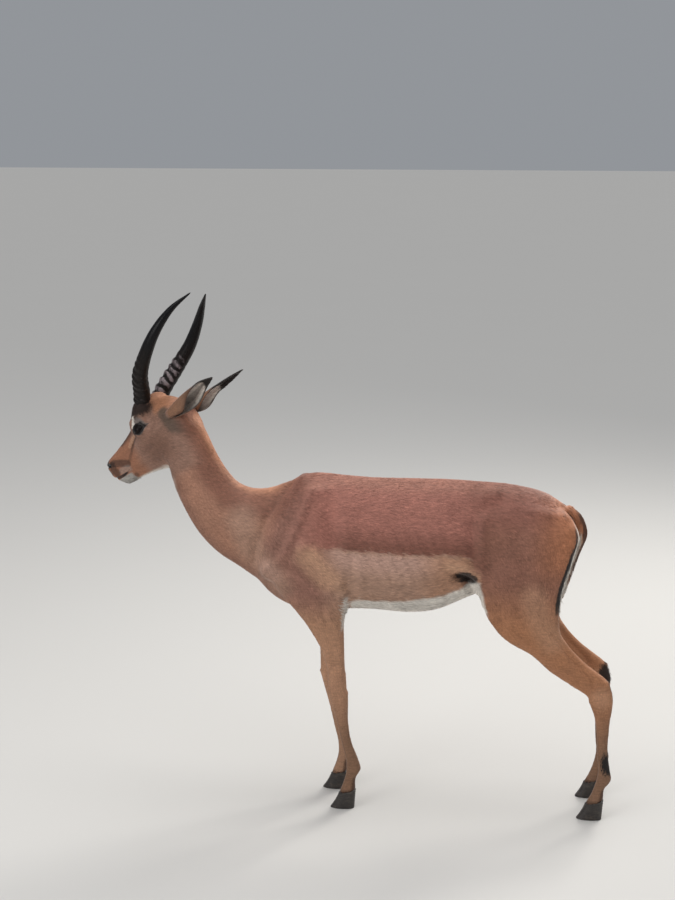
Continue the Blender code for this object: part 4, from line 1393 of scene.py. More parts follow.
def hornSurface(name):
    # a round section carried up the horn's curve; the radius swells into rings that lean and fade out
    side = sides[name]
    rows = smoothRows(horn["rows"], horn["steps"])
    rows[:, :3] = rows[0, :3] + (rows[:, :3] - rows[0, :3]) * horn["scale"][name]
    rows[:, 0] += horn["bow"][name] * np.sin(math.pi * np.linspace(0, 1, len(rows)) ** 0.7)
    path = headLevel(rows[:, 0], side * rows[:, 1], rows[:, 2])
    tangent = unit(np.gradient(path, axis=0))
    forward = headLevel(1.0, 0.0, 0.0) - headLevel(0.0, 0.0, 0.0)
    front = unit(forward - tangent * (tangent @ forward)[:, None])
    other = np.cross(tangent, front)
    turn = fullTurn(horn["columns"])
    walked = walkedAlong(path)[:, None]
    share = walked / walked[-1]
    waver = 0.0016 * np.sin(turn * 2 + walked * 90) + 0.0011 * np.sin(turn * 3 - walked * 140)
    phase = (walked - horn["ringTilt"] * np.cos(turn) + waver) / horn["ringSpacing"]
    saw = phase % 1.0
    ring = fade(saw, 0.05, 0.62) * fade(saw, 0.98, 0.74)
    strength = fade(share, 0.02, 0.07) * fade(share, horn["ringsEnd"], 0.3) * (0.55 + 0.45 * np.cos(turn))
    radius = rows[:, 3][:, None] - horn["sink"] + horn["ringHeight"] * (ring - 0.35) * strength
    groove = np.sin(turn * horn["grooves"] + 2.0 * np.sin(walked * 40)) * fade(share, 1.0, 0.75)
    rounding = np.sqrt(np.clip((1.0 - share) / horn["blunt"], 0.02, 1.0))
    radius = (radius + horn["grooveDepth"] * groove) * rounding
    ray = np.cos(turn)[:, None] * front[:, None] + np.sin(turn)[:, None] * other[:, None]
    surface = tube(path[:, None] + ray * radius[..., None])
    inner = headLevel(0.0, -side, 0.0) - headLevel(0.0, 0.0, 0.0)
    # grey on the ring crests, most where they face forward and inward: wear with a painted highlight
    polishedAndLit = fade(ray @ unit(forward * 0.35 + inner), -0.2, 0.5)
    wornAndLit = fade(share, 0.01, 0.05) * fade(share, horn["ringsEnd"], 0.26) * (0.15 + 0.85 * polishedAndLit)
    wornAndLit = wornAndLit * ring * (0.75 + 0.35 * np.sin(turn * 5 + walked * 310))
    marks = [(grid + 0 * radius).ravel() for grid in (share, wornAndLit)]
    return surface, [np.concatenate([mark, [mark[0], mark[-1]]]) for mark in marks]


horns = []
for name in sides:
    surface, (share, ring) = hornSurface(name)
    piece = newPiece("hornPiece_" + name, surface)
    setAttribute(piece.data, "alongHorn", share)
    setAttribute(piece.data, "ring", ring)
    horns.append(piece)
print("horns grown")


# ---- eyes ----

eyeLook = {
    "gaze": (0.22, 0.97, 0.08),
    "columns": 72,
    "rings": 60,
    "iris": math.radians(34),
    "pupilLong": math.radians(25),
    "pupilHigh": math.radians(13),
    "cornea": 0.001,  # how far the clear front stands proud
}
eyeTones = {"iris": (0.009, 0.005, 0.004), "pupil": (0.003, 0.003, 0.004), "edge": (0.006, 0.004, 0.004)}


def eyeSurface(side):
    # rings from the middle of the gaze round to the back; the front bulges a little
    axis, slit, over = squareTo(eyeLook["gaze"], lids["slit"])
    away = np.linspace(0.01, math.pi - 0.02, eyeLook["rings"])[:, None]
    turn = fullTurn(eyeLook["columns"])
    reach = eyeBall["radius"] - 0.0004 + eyeLook["cornea"] * hump(away, eyeLook["iris"]) * (away < 1.6)
    ray = np.cos(away)[..., None] * axis + np.sin(away)[..., None] * (
        np.cos(turn)[:, None] * slit + np.sin(turn)[:, None] * over
    )
    flat = (away * np.cos(turn), away * np.sin(turn))
    pupil = fade(np.hypot(flat[0] / eyeLook["pupilLong"], flat[1] / eyeLook["pupilHigh"]), 1.15, 0.9)
    edge = fade(away / eyeLook["iris"] + 0 * turn, 0.88, 1.06)
    tone = np.array(eyeTones["iris"]) * (1 + 0.35 * np.sin(turn * 31) * (away > 0.2))[..., None]
    tone = tone + (np.array(eyeTones["edge"]) - tone) * edge[..., None]
    tone = tone + (np.array(eyeTones["pupil"]) - tone) * pupil[..., None]
    tones = np.concatenate([tone.reshape(-1, 3), [eyeTones["pupil"], eyeTones["edge"]]])
    return tube(byEye(ray * reach[..., None], side)), np.clip(tones, 0, 1)


eyes = []
for name, side in sides.items():
    surface, tones = eyeSurface(side)
    piece = newPiece("eyePiece_" + name, surface)
    setAttribute(piece.data, "eyeColour", tones)
    eyes.append(piece)
print("eyes set")


# ---- hooves ----

hoof = {
    "toe": 0.022,  # how far the sole reaches in front of the hairline
    "cleft": 0.0026,
    "points": 40,
    "levels": 26,
    "growth": 0.00022,  # height of the growth lines
    "growthTurns": 46,  # how closely they follow one another
    "heel": 0.004,  # how far the heel slopes in towards the sole
    "flare": 0.001,  # how much wider the sole is
    "gap": 0.0004,  # half the least gap between the two claws
    "hairline": 0.0003,  # how far the wall ends below the hair
}


def clawSurface(leg, side, inner):
    # a D-shaped outline stacked from the sole to the sloping hairline
    ax, az, bx, bz, y, half = legRows(leg, side)[-1]
    drop = (bz - az) / (bx - ax)
    turn = np.linspace(0, math.pi, hoof["points"])
    back = (1 - np.cos(turn)) / 2
    out = np.sin(turn) ** 0.8 * (1 - 0.25 * turn / math.pi)
    f = np.concatenate([[0.0, 0.0], np.linspace(0.03, 1.0, hoof["levels"]), [1.0]])[:, None]
    inset = np.concatenate([[0.55, 0.93], np.ones(hoof["levels"]), [0.6]])[:, None]
    toe = ax - hoof["toe"] * (1 - f) ** 1.2
    heel = bx - hoof["heel"] * (1 - f)
    wide = (half + hoof["flare"] * (1 - f)) - hoof["cleft"] / 2
    wall = hoof["growth"] * np.sin(f * hoof["growthTurns"]) * (f > 0.02)
    middleX = (toe + heel) / 2
    x = middleX + ((heel + (toe - heel) * back) - middleX) * inset - wall * (2 * back - 1)
    across = hoof["cleft"] / 2 + (wide * out + wall * out) * inset + hoof["gap"]
    outwards = -side if inner else side
    top = az + (x - ax) * drop - hoof["hairline"]
    return tube(vectors(x, y + outwards * across, f * top))


hooves = []
for name, side in sides.items():
    for limb, leg in (("fore", foreleg), ("hind", hindleg)):
        for toe in ("inner", "outer"):
            piece = newPiece(f"hoofPiece_{limb}_{toe}_{name}", clawSurface(leg, side, toe == "inner"))
            hooves.append((piece, f"{limb}hoof_{toe}_{name}"))
print("hooves made:", len(hooves))


# ---- finishes ----

def nodeTree(name):
    material = bpy.data.materials.new(name)
    material.use_nodes = True
    tree = material.node_tree
    return material, tree, tree.nodes["Principled BSDF"]


def feed(tree, socket, value):
    # a number or a colour is set, anything else is linked
    if isinstance(value, (int, float)):
        socket.default_value = value
    elif isinstance(value, tuple):
        socket.default_value = value if len(value) == 4 else (*value, 1.0)
    else:
        tree.links.new(value, socket)


def filled(tree, node, values):
    for key, value in values.items():
        feed(tree, node.inputs[key], value)
    return node


def attributeNode(tree, name, output="Fac"):
    node = tree.nodes.new("ShaderNodeAttribute")
    node.attribute_name = name
    return node.outputs[output]


def noiseNode(tree, scale, detail, stretch=None):
    # noise by the piece's own coordinates, stretched where the finish has a grain
    vector = tree.nodes.new("ShaderNodeTexCoord").outputs["Object"]
    if stretch:
        mapping = filled(tree, tree.nodes.new("ShaderNodeMapping"), {"Vector": vector})
        mapping.inputs["Scale"].default_value = stretch
        vector = mapping.outputs["Vector"]
    values = {"Scale": scale, "Detail": detail, "Vector": vector}
    return filled(tree, tree.nodes.new("ShaderNodeTexNoise"), values).outputs["Fac"]


def ranged(tree, value, start, end, first, last):
    # start to end in the value becomes first to last
    values = {"From Min": start, "From Max": end, "To Min": first, "To Max": last, "Value": value}
    return filled(tree, tree.nodes.new("ShaderNodeMapRange"), values).outputs["Result"]


def mathNode(tree, operation, a, b):
    node = tree.nodes.new("ShaderNodeMath")
    node.operation = operation
    for socket, value in zip(node.inputs, (a, b)):
        feed(tree, socket, value)
    return node.outputs["Value"]


def mixNode(tree, factor, a, b, blend="MIX"):
    node = tree.nodes.new("ShaderNodeMix")
    node.data_type = "RGBA"
    node.blend_type = blend
    for key, value in (("Factor_Float", factor), ("A_Color", a), ("B_Color", b)):
        feed(tree, next(i for i in node.inputs if i.identifier == key), value)
    return next(o for o in node.outputs if o.identifier == "Result_Color")


def bumpNode(tree, height, distance, strength):
    values = {"Distance": distance, "Strength": strength, "Height": height}
    return filled(tree, tree.nodes.new("ShaderNodeBump"), values).outputs["Normal"]


def newGroup(name, inputs, outputs):
    group = bpy.data.node_groups.new(name, "ShaderNodeTree")
    for label, kind in inputs.items():
        group.interface.new_socket(label, in_out="INPUT", socket_type="NodeSocket" + kind)
    for label, kind in outputs.items():
        group.interface.new_socket(label, in_out="OUTPUT", socket_type="NodeSocket" + kind)
    return group, group.nodes.new("NodeGroupInput").outputs, group.nodes.new("NodeGroupOutput").inputs


def placed(tree, group, values):
    node = tree.nodes.new("ShaderNodeGroup")
    node.node_tree = group
    return filled(tree, node, values)


# Hair colour: the marking's colour, unevenly lightened, with streaks along the body.
hairTone, ins, outs = newGroup(
    "hairTone",
    {"Colour": "Color", "Shade": "Float", "Patchiness": "Float", "Streaks": "Float"},
    {"Colour": "Color", "Streak": "Float"},
)
streaks = noiseNode(hairTone, 1.0, 3.0, stretch=(60.0, 260.0, 300.0))
patch = ranged(hairTone, noiseNode(hairTone, 26.0, 3.0), 0.3, 0.7, -1.0, 1.0)
streak = ranged(hairTone, streaks, 0.3, 0.7, -1.0, 1.0)
patch = mathNode(hairTone, "MULTIPLY", patch, ins["Patchiness"])
amount = mathNode(hairTone, "ADD", patch, mathNode(hairTone, "MULTIPLY", streak, ins["Streaks"]))
level = mathNode(hairTone, "MULTIPLY", mathNode(hairTone, "ADD", amount, 1.0), ins["Shade"])
grey = hairTone.nodes.new("ShaderNodeCombineColor")
filled(hairTone, grey, {"Red": level, "Green": level, "Blue": level})
feed(hairTone, outs["Colour"], mixNode(hairTone, 1.0, ins["Colour"], grey.outputs["Color"], "MULTIPLY"))
feed(hairTone, outs["Streak"], streaks)

# The skin under the hair: the same colour, smoother and pebbled where it is bare.
skinFinish, tree, shader = nodeTree("coatSkin")
tone = placed(tree, hairTone, {
    "Colour": attributeNode(tree, "coatColour", "Color"),
    "Shade": 0.92,
    "Patchiness": 0.06,
    "Streaks": 0.16,
})
bareness = attributeNode(tree, "bare")
pebbles = mathNode(tree, "MULTIPLY", noiseNode(tree, 900.0, 2.0), bareness)
relief = mathNode(tree, "MULTIPLY", tone.outputs["Streak"], 0.8)
relief = mathNode(tree, "ADD", relief, mathNode(tree, "MULTIPLY", pebbles, 0.5))
filled(tree, shader, {
    "Base Color": tone.outputs["Colour"],
    "Roughness": ranged(tree, bareness, 0.0, 1.0, 0.62, 0.3),
    "Specular IOR Level": 0.35,
    "Normal": bumpNode(tree, relief, 0.0012, 0.7),
})

# Horn: dark fibres, grey on the rings from wear and a painted highlight, smooth and black towards the tip.
hornFinish, tree, shader = nodeTree("hornBlack")
hornAlong = attributeNode(tree, "alongHorn")
fibres = noiseNode(tree, 1.0, 4.0, stretch=(420.0, 420.0, 60.0))
wornAndLit = ranged(tree, noiseNode(tree, 130.0, 3.0), 0.35, 0.62, 0.35, 1.15)
wornAndLit = mathNode(tree, "MULTIPLY", attributeNode(tree, "ring"), wornAndLit)
fibre = ranged(tree, fibres, 0.35, 0.7, 0.0, 1.0)
base = mixNode(tree, fibre, (0.004, 0.003, 0.003), (0.015, 0.01, 0.008))
base = mixNode(tree, ranged(tree, wornAndLit, 0.1, 0.6, 0.0, 0.9), base, (0.27, 0.225, 0.235))
base = mixNode(tree, ranged(tree, hornAlong, 0.42, 0.6, 0.0, 0.85), base, (0.004, 0.004, 0.005))
filled(tree, shader, {
    "Base Color": base,
    "Roughness": ranged(tree, hornAlong, 0.35, 0.75, 0.48, 0.27),
    "Specular IOR Level": 0.18,
    "Normal": bumpNode(tree, fibres, 0.0006, 0.8),
})

# Eye: nearly black glass with a few brown specks.
eyeFinish, tree, shader = nodeTree("eyeDark")
specks = ranged(tree, noiseNode(tree, 1400.0, 2.0), 0.4, 0.7, 0.0, 0.35)
filled(tree, shader, {
    "Base Color": mixNode(tree, specks, attributeNode(tree, "eyeColour", "Color"), (0.012, 0.006, 0.004)),
    "Roughness": 0.28,
    "Specular IOR Level": 0.1,
    "Coat Weight": 0.05,
    "Coat Roughness": 0.08,
    "Coat IOR": 1.4,
})

# Hoof: dark horn with upright grain and a little dust.
hoofFinish, tree, shader = nodeTree("hoofHorn")
lines = noiseNode(tree, 1.0, 3.0, stretch=(90.0, 90.0, 900.0))
dust = noiseNode(tree, 70.0, 4.0)
grain = ranged(tree, lines, 0.35, 0.7, 0.0, 1.0)
base = mixNode(tree, grain, (0.016, 0.013, 0.012), (0.05, 0.04, 0.034))
filled(tree, shader, {
    "Base Color": mixNode(tree, ranged(tree, dust, 0.52, 0.75, 0.0, 0.45), base, (0.14, 0.11, 0.085)),
    "Roughness": ranged(tree, dust, 0.3, 0.7, 0.32, 0.55),
    "Normal": bumpNode(tree, lines, 0.0005, 0.8),
})

skin.data.materials.append(skinFinish)
for piece in horns:
    piece.data.materials.append(hornFinish)
for piece in eyes:
    piece.data.materials.append(eyeFinish)
for piece, node in hooves:
    piece.data.materials.append(hoofFinish)
print("finishes mixed")


# ---- the lie of the coat ----
# Which way the hair points, by its place in the side view: x, z, then the direction in x and z.

lies = [
    (-0.355, 0.98, 0.48, -0.88), (-0.4, 0.88, 0.35, -0.94), (-0.3, 0.85, 0.7, -0.72),
    (-0.33, 0.75, 0.62, -0.78), (-0.22, 0.79, 0.86, -0.5), (-0.23, 0.68, 0.62, -0.78),
    (-0.19, 0.6, 0.45, -0.9), (-0.1, 0.86, 0.96, -0.22), (-0.09, 0.76, 0.8, -0.6),
    (-0.07, 0.66, 0.62, -0.78), (-0.06, 0.58, 0.35, -0.94), (0.0, 0.45, 0.08, -1.0),
    (0.02, 0.2, 0.05, -1.0), (0.05, 0.85, 1.0, -0.12), (0.05, 0.72, 0.98, -0.22),
    (0.06, 0.6, 0.98, 0.02), (0.1, 0.54, 1.0, 0.03), (0.25, 0.86, 1.0, -0.1),
    (0.25, 0.72, 0.97, -0.22), (0.23, 0.59, 0.98, 0.12), (0.33, 0.61, 0.9, 0.3),
    (0.42, 0.83, 0.9, -0.42), (0.42, 0.68, 0.62, -0.78), (0.4, 0.57, 0.45, -0.9),
    (0.54, 0.79, 0.72, -0.7), (0.56, 0.68, 0.3, -0.95), (0.52, 0.52, 0.52, -0.86),
    (0.62, 0.42, 0.66, -0.75), (0.69, 0.32, 0.08, -1.0), (0.7, 0.12, 0.02, -1.0),
    (0.64, 0.74, -0.1, -0.99), (0.62, 0.67, -0.34, -0.94), (0.6, 0.6, -0.4, -0.92),
]
coat = {
    "coverage": 1.65,  # how many layers of hair lie over any spot
    "sink": 0.0006,  # how deep the roots sit in the skin
    "ridge": 0.3,  # thickness of a tuft against its width
    "sweep": 0.11,  # slow wander of the lie, in radians
    "scatter": 0.1,  # each tuft's own turn from its neighbours
    "patch": 0.003,  # width of a tuft's own patch on the unwrapped skin
    "mostBent": 70.0,  # sharpest turn that a tuft follows, in radians to the metre
    "smoothing": 3,  # how often that turn is averaged with its neighbours
    "widest": 0.36,  # share of a tuft's length where it is widest
    "edgeLean": 0.55,  # how far the light falls off to a tuft's edges
}
hairSizes = {  # length, width, rise
    "body": (0.015, 0.0024, 0.045),
    "neck": (0.0125, 0.002, 0.042),
    "belly": (0.019, 0.0026, 0.075),
    "leg": (0.01, 0.0018, 0.05),
    "shank": (0.008, 0.0016, 0.05),
    "foot": (0.0065, 0.0014, 0.055),
    "face": (0.007, 0.0014, 0.05),
    "crown": (0.0105, 0.0016, 0.06),
    "collar": (0.009, 0.0015, 0.09),
    "muzzle": (0.0042, 0.0011, 0.045),
    "eye": (0.0042, 0.001, 0.045),
    "nape": (0.017, 0.0021, 0.07),
    "tail": (0.013, 0.0018, 0.03),
    "brush": (0.02, 0.0022, 0.03),
    "stripe": (0.011, 0.0018, 0.035),
    "hollow": (0.007, 0.0018, 0.03),
    "fringe": (0.017, 0.0026, 0.18),
    "hock": (0.014, 0.0024, 0.22),
    "chin": (0.0105, 0.0015, 0.2),
    "rump": (0.021, 0.0026, 0.06),
}


def coatLie(points, normals):
    # the table's directions, each weighed by its nearness to the fourth power; hair runs back over the head
    table = np.array(lies)
    gap = ((points[:, None, [0, 2]] - table[:, :2]) ** 2).sum(2)
    flow = (1 / (gap + 0.0006) ** 2) @ table[:, 2:]
    flow = unit(vectors(flow[:, 0], 0.0, flow[:, 1]))
    along, sideways, up = toHead(points)
    drop = -0.55 * fade(up, 0.03, -0.06) * fade(along, 0.2, 0.08)
    backward = headTilted(-1.0 + 0 * along, 0.0, drop) - headTilted(0.0, 0.0, 0.0)
    flow += (unit(backward) - flow) * onFace(points)[:, None]
    climb = headLevel(-0.25 + 0 * along, 0.3 * np.sign(sideways), 1.0) - headLevel(0.0, 0.0, 0.0)
    flow += (unit(climb) - flow) * onCollar(points)[:, None]
    flow = unit(flow - normals * (flow * normals).sum(1)[:, None])
    spin = coat["sweep"] * ripple(points, 0.07, 7)[:, None]
    return flow * np.cos(spin) + np.cross(normals, flow) * np.sin(spin)


def hairSize(points):
    # length, width and rise of the tufts anywhere on the skin
    x, z = points[:, 0], points[:, 2]
    wide = np.abs(points[:, 1])
    size = np.tile(np.array(hairSizes["body"]), (len(points), 1))
    rearCorner = rearPlace(x, z, wide)
    behindStripe = (x > 0.5) * fade(rearCorner, 0.005, 0.009)
    hock = fromSpot(points, (0.708, 0.066, 0.358))
    hollow = gapTo(np.stack([x, z], 1), strokes["hollow"][0])
    steps = [
        ("neck", fade(x, -0.14, -0.26) * fade(z, 0.6, 0.68)),
        ("nape", fade(wide, 0.03, 0.008) * fade(x, -0.02, -0.1) * fade(z, 0.8, 0.86) * 0.7),
        ("belly", fade(z, 0.6, 0.55) * fade(x, -0.1, -0.02) * fade(x, 0.4, 0.34)),
        ("rump", (x > 0.52) * fade(z, 0.55, 0.6) * fade(wide, 0.075, 0.05) * 0.8),
        ("tail", (x > 0.56) * (wide < 0.022) * fade(z, 0.79, 0.77)),
        ("brush", (x > 0.56) * (wide < 0.022) * fade(z, 0.69, 0.625)),
        ("stripe", (x > 0.5) * fade(np.abs(rearCorner), 0.014, 0.01) * fade(z, 0.54, 0.56)),
        ("fringe", behindStripe * fade(z, 0.548, 0.57) * fade(z, 0.7, 0.66)),
        ("hollow", fade(hollow, 0.034, 0.022)),
        ("leg", fade(z, 0.56, 0.46)),
        ("shank", fade(z, 0.36, 0.26)),
        ("foot", fade(z, 0.11, 0.07)),
        ("hock", fade(hock, 0.03, 0.022)),
    ]
    along, sideways, up = toHead(points)
    face = onFace(points)
    middle = face * fade(np.abs(sideways), 0.05, 0.03)
    steps += [
        ("face", face),
        ("crown", middle * fade(along, 0.085, 0.065) * fade(up, 0.055, 0.075)),
        ("collar", onCollar(points)),
        ("muzzle", face * fade(along, 0.16, 0.215)),
        ("eye", face * fade(nearEye(points), 2.2, 1.6)),
        ("chin", face * fade(up, -0.052, -0.058) * fade(along, 0.205, 0.22)),
    ]
    for name, mask in steps:
        size += (np.array(hairSizes[name]) - size) * mask[:, None]
    return size.T


def bending(surface, normals, flow):
    # how sharply the skin turns along the lie, from the change of normal over each edge
    verts, quads, tris = surface
    starts = [faces[:, k] for faces in (quads, tris) for k in range(faces.shape[1])]
    ends = [faces[:, (k + 1) % faces.shape[1]] for faces in (quads, tris) for k in range(faces.shape[1])]
    i, j = np.concatenate(starts + ends), np.concatenate(ends + starts)
    step = verts[j] - verts[i]
    size = np.maximum((step**2).sum(1), 1e-10)
    turn = ((normals[j] - normals[i]) * step).sum(1) / size
    weight = (step * flow[i]).sum(1) ** 2 / size + 0.02
    count = len(verts)
    bent = np.bincount(i, turn * weight, count) / np.maximum(np.bincount(i, weight, count), 1e-9)
    shared = np.maximum(np.bincount(i, minlength=count), 1)
    for smoothing in range(coat["smoothing"]):
        bent = 0.5 * bent + 0.5 * np.bincount(i, bent[j], count) / shared
    return np.clip(bent, -30.0, coat["mostBent"])


def scattered(surface, density, dice):
    # roots spread evenly: neighbouring triangles stand in line and share out the roots by area times density
    verts, quads, tris = surface
    tris = np.concatenate([tris, quads[:, [0, 1, 2]], quads[:, [0, 2, 3]]])
    a, b, c = (verts[tris[:, k]] for k in range(3))
    area = np.linalg.norm(np.cross(b - a, c - a), axis=1) / 2
    cell = np.floor((a + b + c) / 3 / 0.012).astype(int)
    order = np.lexsort((cell[:, 1], cell[:, 2], cell[:, 0]))
    total = np.cumsum((area * density[tris].mean(1))[order])
    count = int(total[-1])
    at = (np.arange(count) + dice.random(count)) * total[-1] / count
    pick = order[np.minimum(np.searchsorted(total, at), len(order) - 1)]
    u, v = dice.random((2, count))
    u, v = np.where(u + v > 1, 1 - u, u), np.where(u + v > 1, 1 - v, v)
    return tris[pick], np.stack([1 - u - v, u, v], axis=1)[..., None]


def unrolled(points, path, facing):
    # the skin laid out flat round a part's middle line: share of the way along it, share of a turn round it
    path = np.asarray(path, float)
    along = pathPlace(points, path)[1]
    walked = walkedAlong(path)
    middle, tangent = (
        np.stack([np.interp(along * walked[-1], walked, line) for line in lines.T], axis=1)
        for lines in (path, unit(np.gradient(path, axis=0)))
    )
    other = unit(np.cross(tangent, np.array(facing, float)))
    base = np.cross(other, tangent)
    rel = points - middle
    return along, np.arctan2((rel * other).sum(1), (rel * base).sum(1)) / (2 * math.pi) + 0.5


def coatRegions(points):
    # the parts the coat is divided into, each with its own unwrap round its own middle line
    x, y, z = points.T
    face = onFace(points) > 0.5
    neck = (aheadOfShoulder(x, z) > 0.0) & ~face
    onForeleg = (x < 0.2) & (z < 0.5)
    onHindleg = (x > 0.3) & (z < 0.5)
    tailBand = [(0.616, 0.78), (0.629, 0.742), (0.622, 0.696), (0.607, 0.65), (0.578, 0.564)]
    tail = (x > 0.57) & (z < 0.8) & (np.abs(y) < 0.021)
    tail &= gapTo(points[:, [0, 2]], tailBand) < 0.021
    left = y < 0
    rest = ~(face | neck | onForeleg | onHindleg | tail)
    trunkLine = [(-0.22, 0.0, 0.7), (0.1, 0.0, 0.69), (0.4, 0.0, 0.69), (0.62, 0.0, 0.66)]
    tailLine = [(0.616, 0, 0.79), (0.629, 0, 0.742), (0.607, 0, 0.65), (0.578, 0, 0.56)]
    neckLine = middleLine(np.array(neckRibs["rows"]))
    headLine = headTilted(np.array((-0.03, 0.1, 0.29)), 0.0, np.array((0.0, 0.0, -0.02)))
    regions = {}  # mask, middle line, which way the unwrap faces, whether it is one half of the body
    facing = headTilted(0.0, 0.0, 1.0) - headTilted(0.0, 0.0, 0.0)
    for label, half, side in (("Left", left, -1.0), ("Right", ~left, 1.0)):
        regions["coatShoulder" + label] = (rest & half & (x < 0.14), trunkLine, (0, 0, 1), True)
        regions["coatHaunch" + label] = (rest & half & (x >= 0.14), trunkLine, (0, 0, 1), True)
        part = face & ((toHead(points)[1] < 0) == (side < 0))
        regions["coatHead" + label] = (part, headLine, facing, True)
    regions["coatNeck"] = (neck, neckLine, (0, 1, 0), False)
    for label, half, side in (("Left", left, -1.0), ("Right", ~left, 1.0)):
        for name, mask, leg in (("coatForeleg", onForeleg, foreleg), ("coatHindleg", onHindleg, hindleg)):
            regions[name + label] = (mask & half, middleLine(legRows(leg, side)), (0, side, 0), False)
    regions["coatTail"] = (tail, tailLine, (0, 1, 0), False)
    return regions


tuftFaces = np.array([(0, 1, 2), (0, 2, 3), (0, 3, 1), (4, 2, 1), (4, 3, 2), (4, 1, 3)])


def tuftShape(hair):
    # root, then left edge, ridge and right edge at the widest place, then the tip;
    # its line bends with the skin, by the sine and cosine of the turn so far, and lifts off by its rise
    root, normal, flow = hair["root"], hair["normal"], hair["flow"]
    bent = np.where(np.abs(hair["bent"]) < 0.5, 0.5, hair["bent"])
    line, up = [], []
    for share in (0.0, coat["widest"], 1.0):
        walked = share * hair["length"]
        angle = (bent * walked)[:, None]
        lift = hair["rise"] * walked * (1 + hair["curl"] * share) - coat["sink"] * (1 - share) ** 2
        drop = (np.cos(angle) - 1) / bent[:, None]
        line.append(root + flow * np.sin(angle) / bent[:, None] + normal * (drop + lift[:, None]))
        up.append(normal * np.cos(angle) + flow * np.sin(angle))
    across = np.cross(normal, flow)
    reach = across * (hair["width"] / 2)[:, None]
    ridge = up[1] * (hair["width"] / 2)[:, None] * 2 * coat["ridge"]
    lean = coat["edgeLean"] * across
    places = [line[0], line[1] - reach, line[1] + ridge, line[1] + reach, line[2]]
    directions = [up[0], unit(up[1] - lean), up[1], unit(up[1] + lean), up[2]]
    return np.stack(places, 1), np.stack(directions, 1)


def coatPiece(name, hair):
    # one mesh of all the tufts, with their colours, and a small patch of the unwrap for each
    verts, directions = tuftShape(hair)
    count, each = verts.shape[:2]
    shares = np.array([0.0] + [coat["widest"]] * 3 + [1.0])
    tris = (tuftFaces[None] + (np.arange(count) * each)[:, None, None]).reshape(-1, 3)
    piece = newPiece(name, (verts.reshape(-1, 3), np.zeros((0, 4), int), tris))
    mesh = piece.data
    mesh.normals_split_custom_set_from_vertices(directions.reshape(-1, 3).astype(np.float32))
    setAttribute(mesh, "coatColour", np.repeat(hair["colour"], each, axis=0))
    setAttribute(mesh, "tone", np.repeat(hair["tone"], each))
    setAttribute(mesh, "tip", np.tile(shares, count))
    patch = np.stack([shares - 0.5, (0.0, -0.5, 0.0, 0.5, 0.0)], axis=1) * coat["patch"]
    flat = (hair["flat"][:, None] * (1 - 2 * coat["patch"]) + coat["patch"] + patch[None]).reshape(-1, 2)
    mesh.uv_layers.new(name="OFBake").data.foreach_set("uv", flat[tris.ravel()].astype(np.float32).ravel())
    return piece


# ---- the coat over the body ----

dice = np.random.default_rng(41)
skinLie = coatLie(skinSurface[0], skinNormals)
skinBent = bending(skinSurface, skinNormals, skinLie)
length, width, rise = hairSize(skinSurface[0])
grows = np.where((bare > 0.5)[: len(skinNormals)] | (nearEye(skinSurface[0]) < 1.16), 0.0, 1.0)
density = grows * coat["coverage"] * 2 / (length * width)
corners, shares = scattered(skinSurface, density, dice)


def carried(values):
    # any value of the skin's vertices taken to the roots
    return (values[corners] * (shares if values.ndim > 1 else shares[..., 0])).sum(1)


hair = {"root": carried(skinSurface[0]), "normal": unit(carried(skinNormals)), "bent": carried(skinBent)}
count = len(hair["root"])
turn = (coat["scatter"] * dice.normal(size=count))[:, None]
lie = carried(skinLie)
lie = unit(lie - hair["normal"] * (lie * hair["normal"]).sum(1)[:, None])
hair["flow"] = lie * np.cos(turn) + np.cross(hair["normal"], lie) * np.sin(turn)
length, width, rise = hairSize(hair["root"])
hair["length"] = length * dice.uniform(0.75, 1.2, count)
hair["width"] = width * dice.uniform(0.8, 1.2, count)
hair["rise"] = rise * dice.uniform(0.5, 1.5, count)
hair["curl"] = dice.uniform(-0.2, 0.6, count)
hair["colour"] = coatPaint(hair["root"], hair["normal"])[0]
ridges = ripple(hair["root"] * np.array((0.15, 1.0, 1.0)), 0.011, 11) * fade(hair["root"][:, 2], 0.52, 0.6)
hair["tone"] = 1 + 0.09 * dice.normal(size=count) + 0.1 * ridges
hair["flat"] = np.zeros((count, 2))
coats = []
for name, (mask, path, facing, halved) in coatRegions(hair["root"]).items():
    along, turned = unrolled(hair["root"][mask], path, facing)
    turned = np.abs(turned - 0.5) * 2 if halved else turned
    hair["flat"][mask] = np.stack([along, turned], axis=1)
    coats.append(coatPiece(name, {key: value[mask] for key, value in hair.items()}))
    print(name, int(mask.sum()), "tufts")


# ---- the coat on the ears ----

earHair = [  # back, then inside: how many tufts, and their length, width and rise
    (5200, (0.0075, 0.0014, 0.05)),
    (3000, (0.012, 0.0015, 0.13)),
]


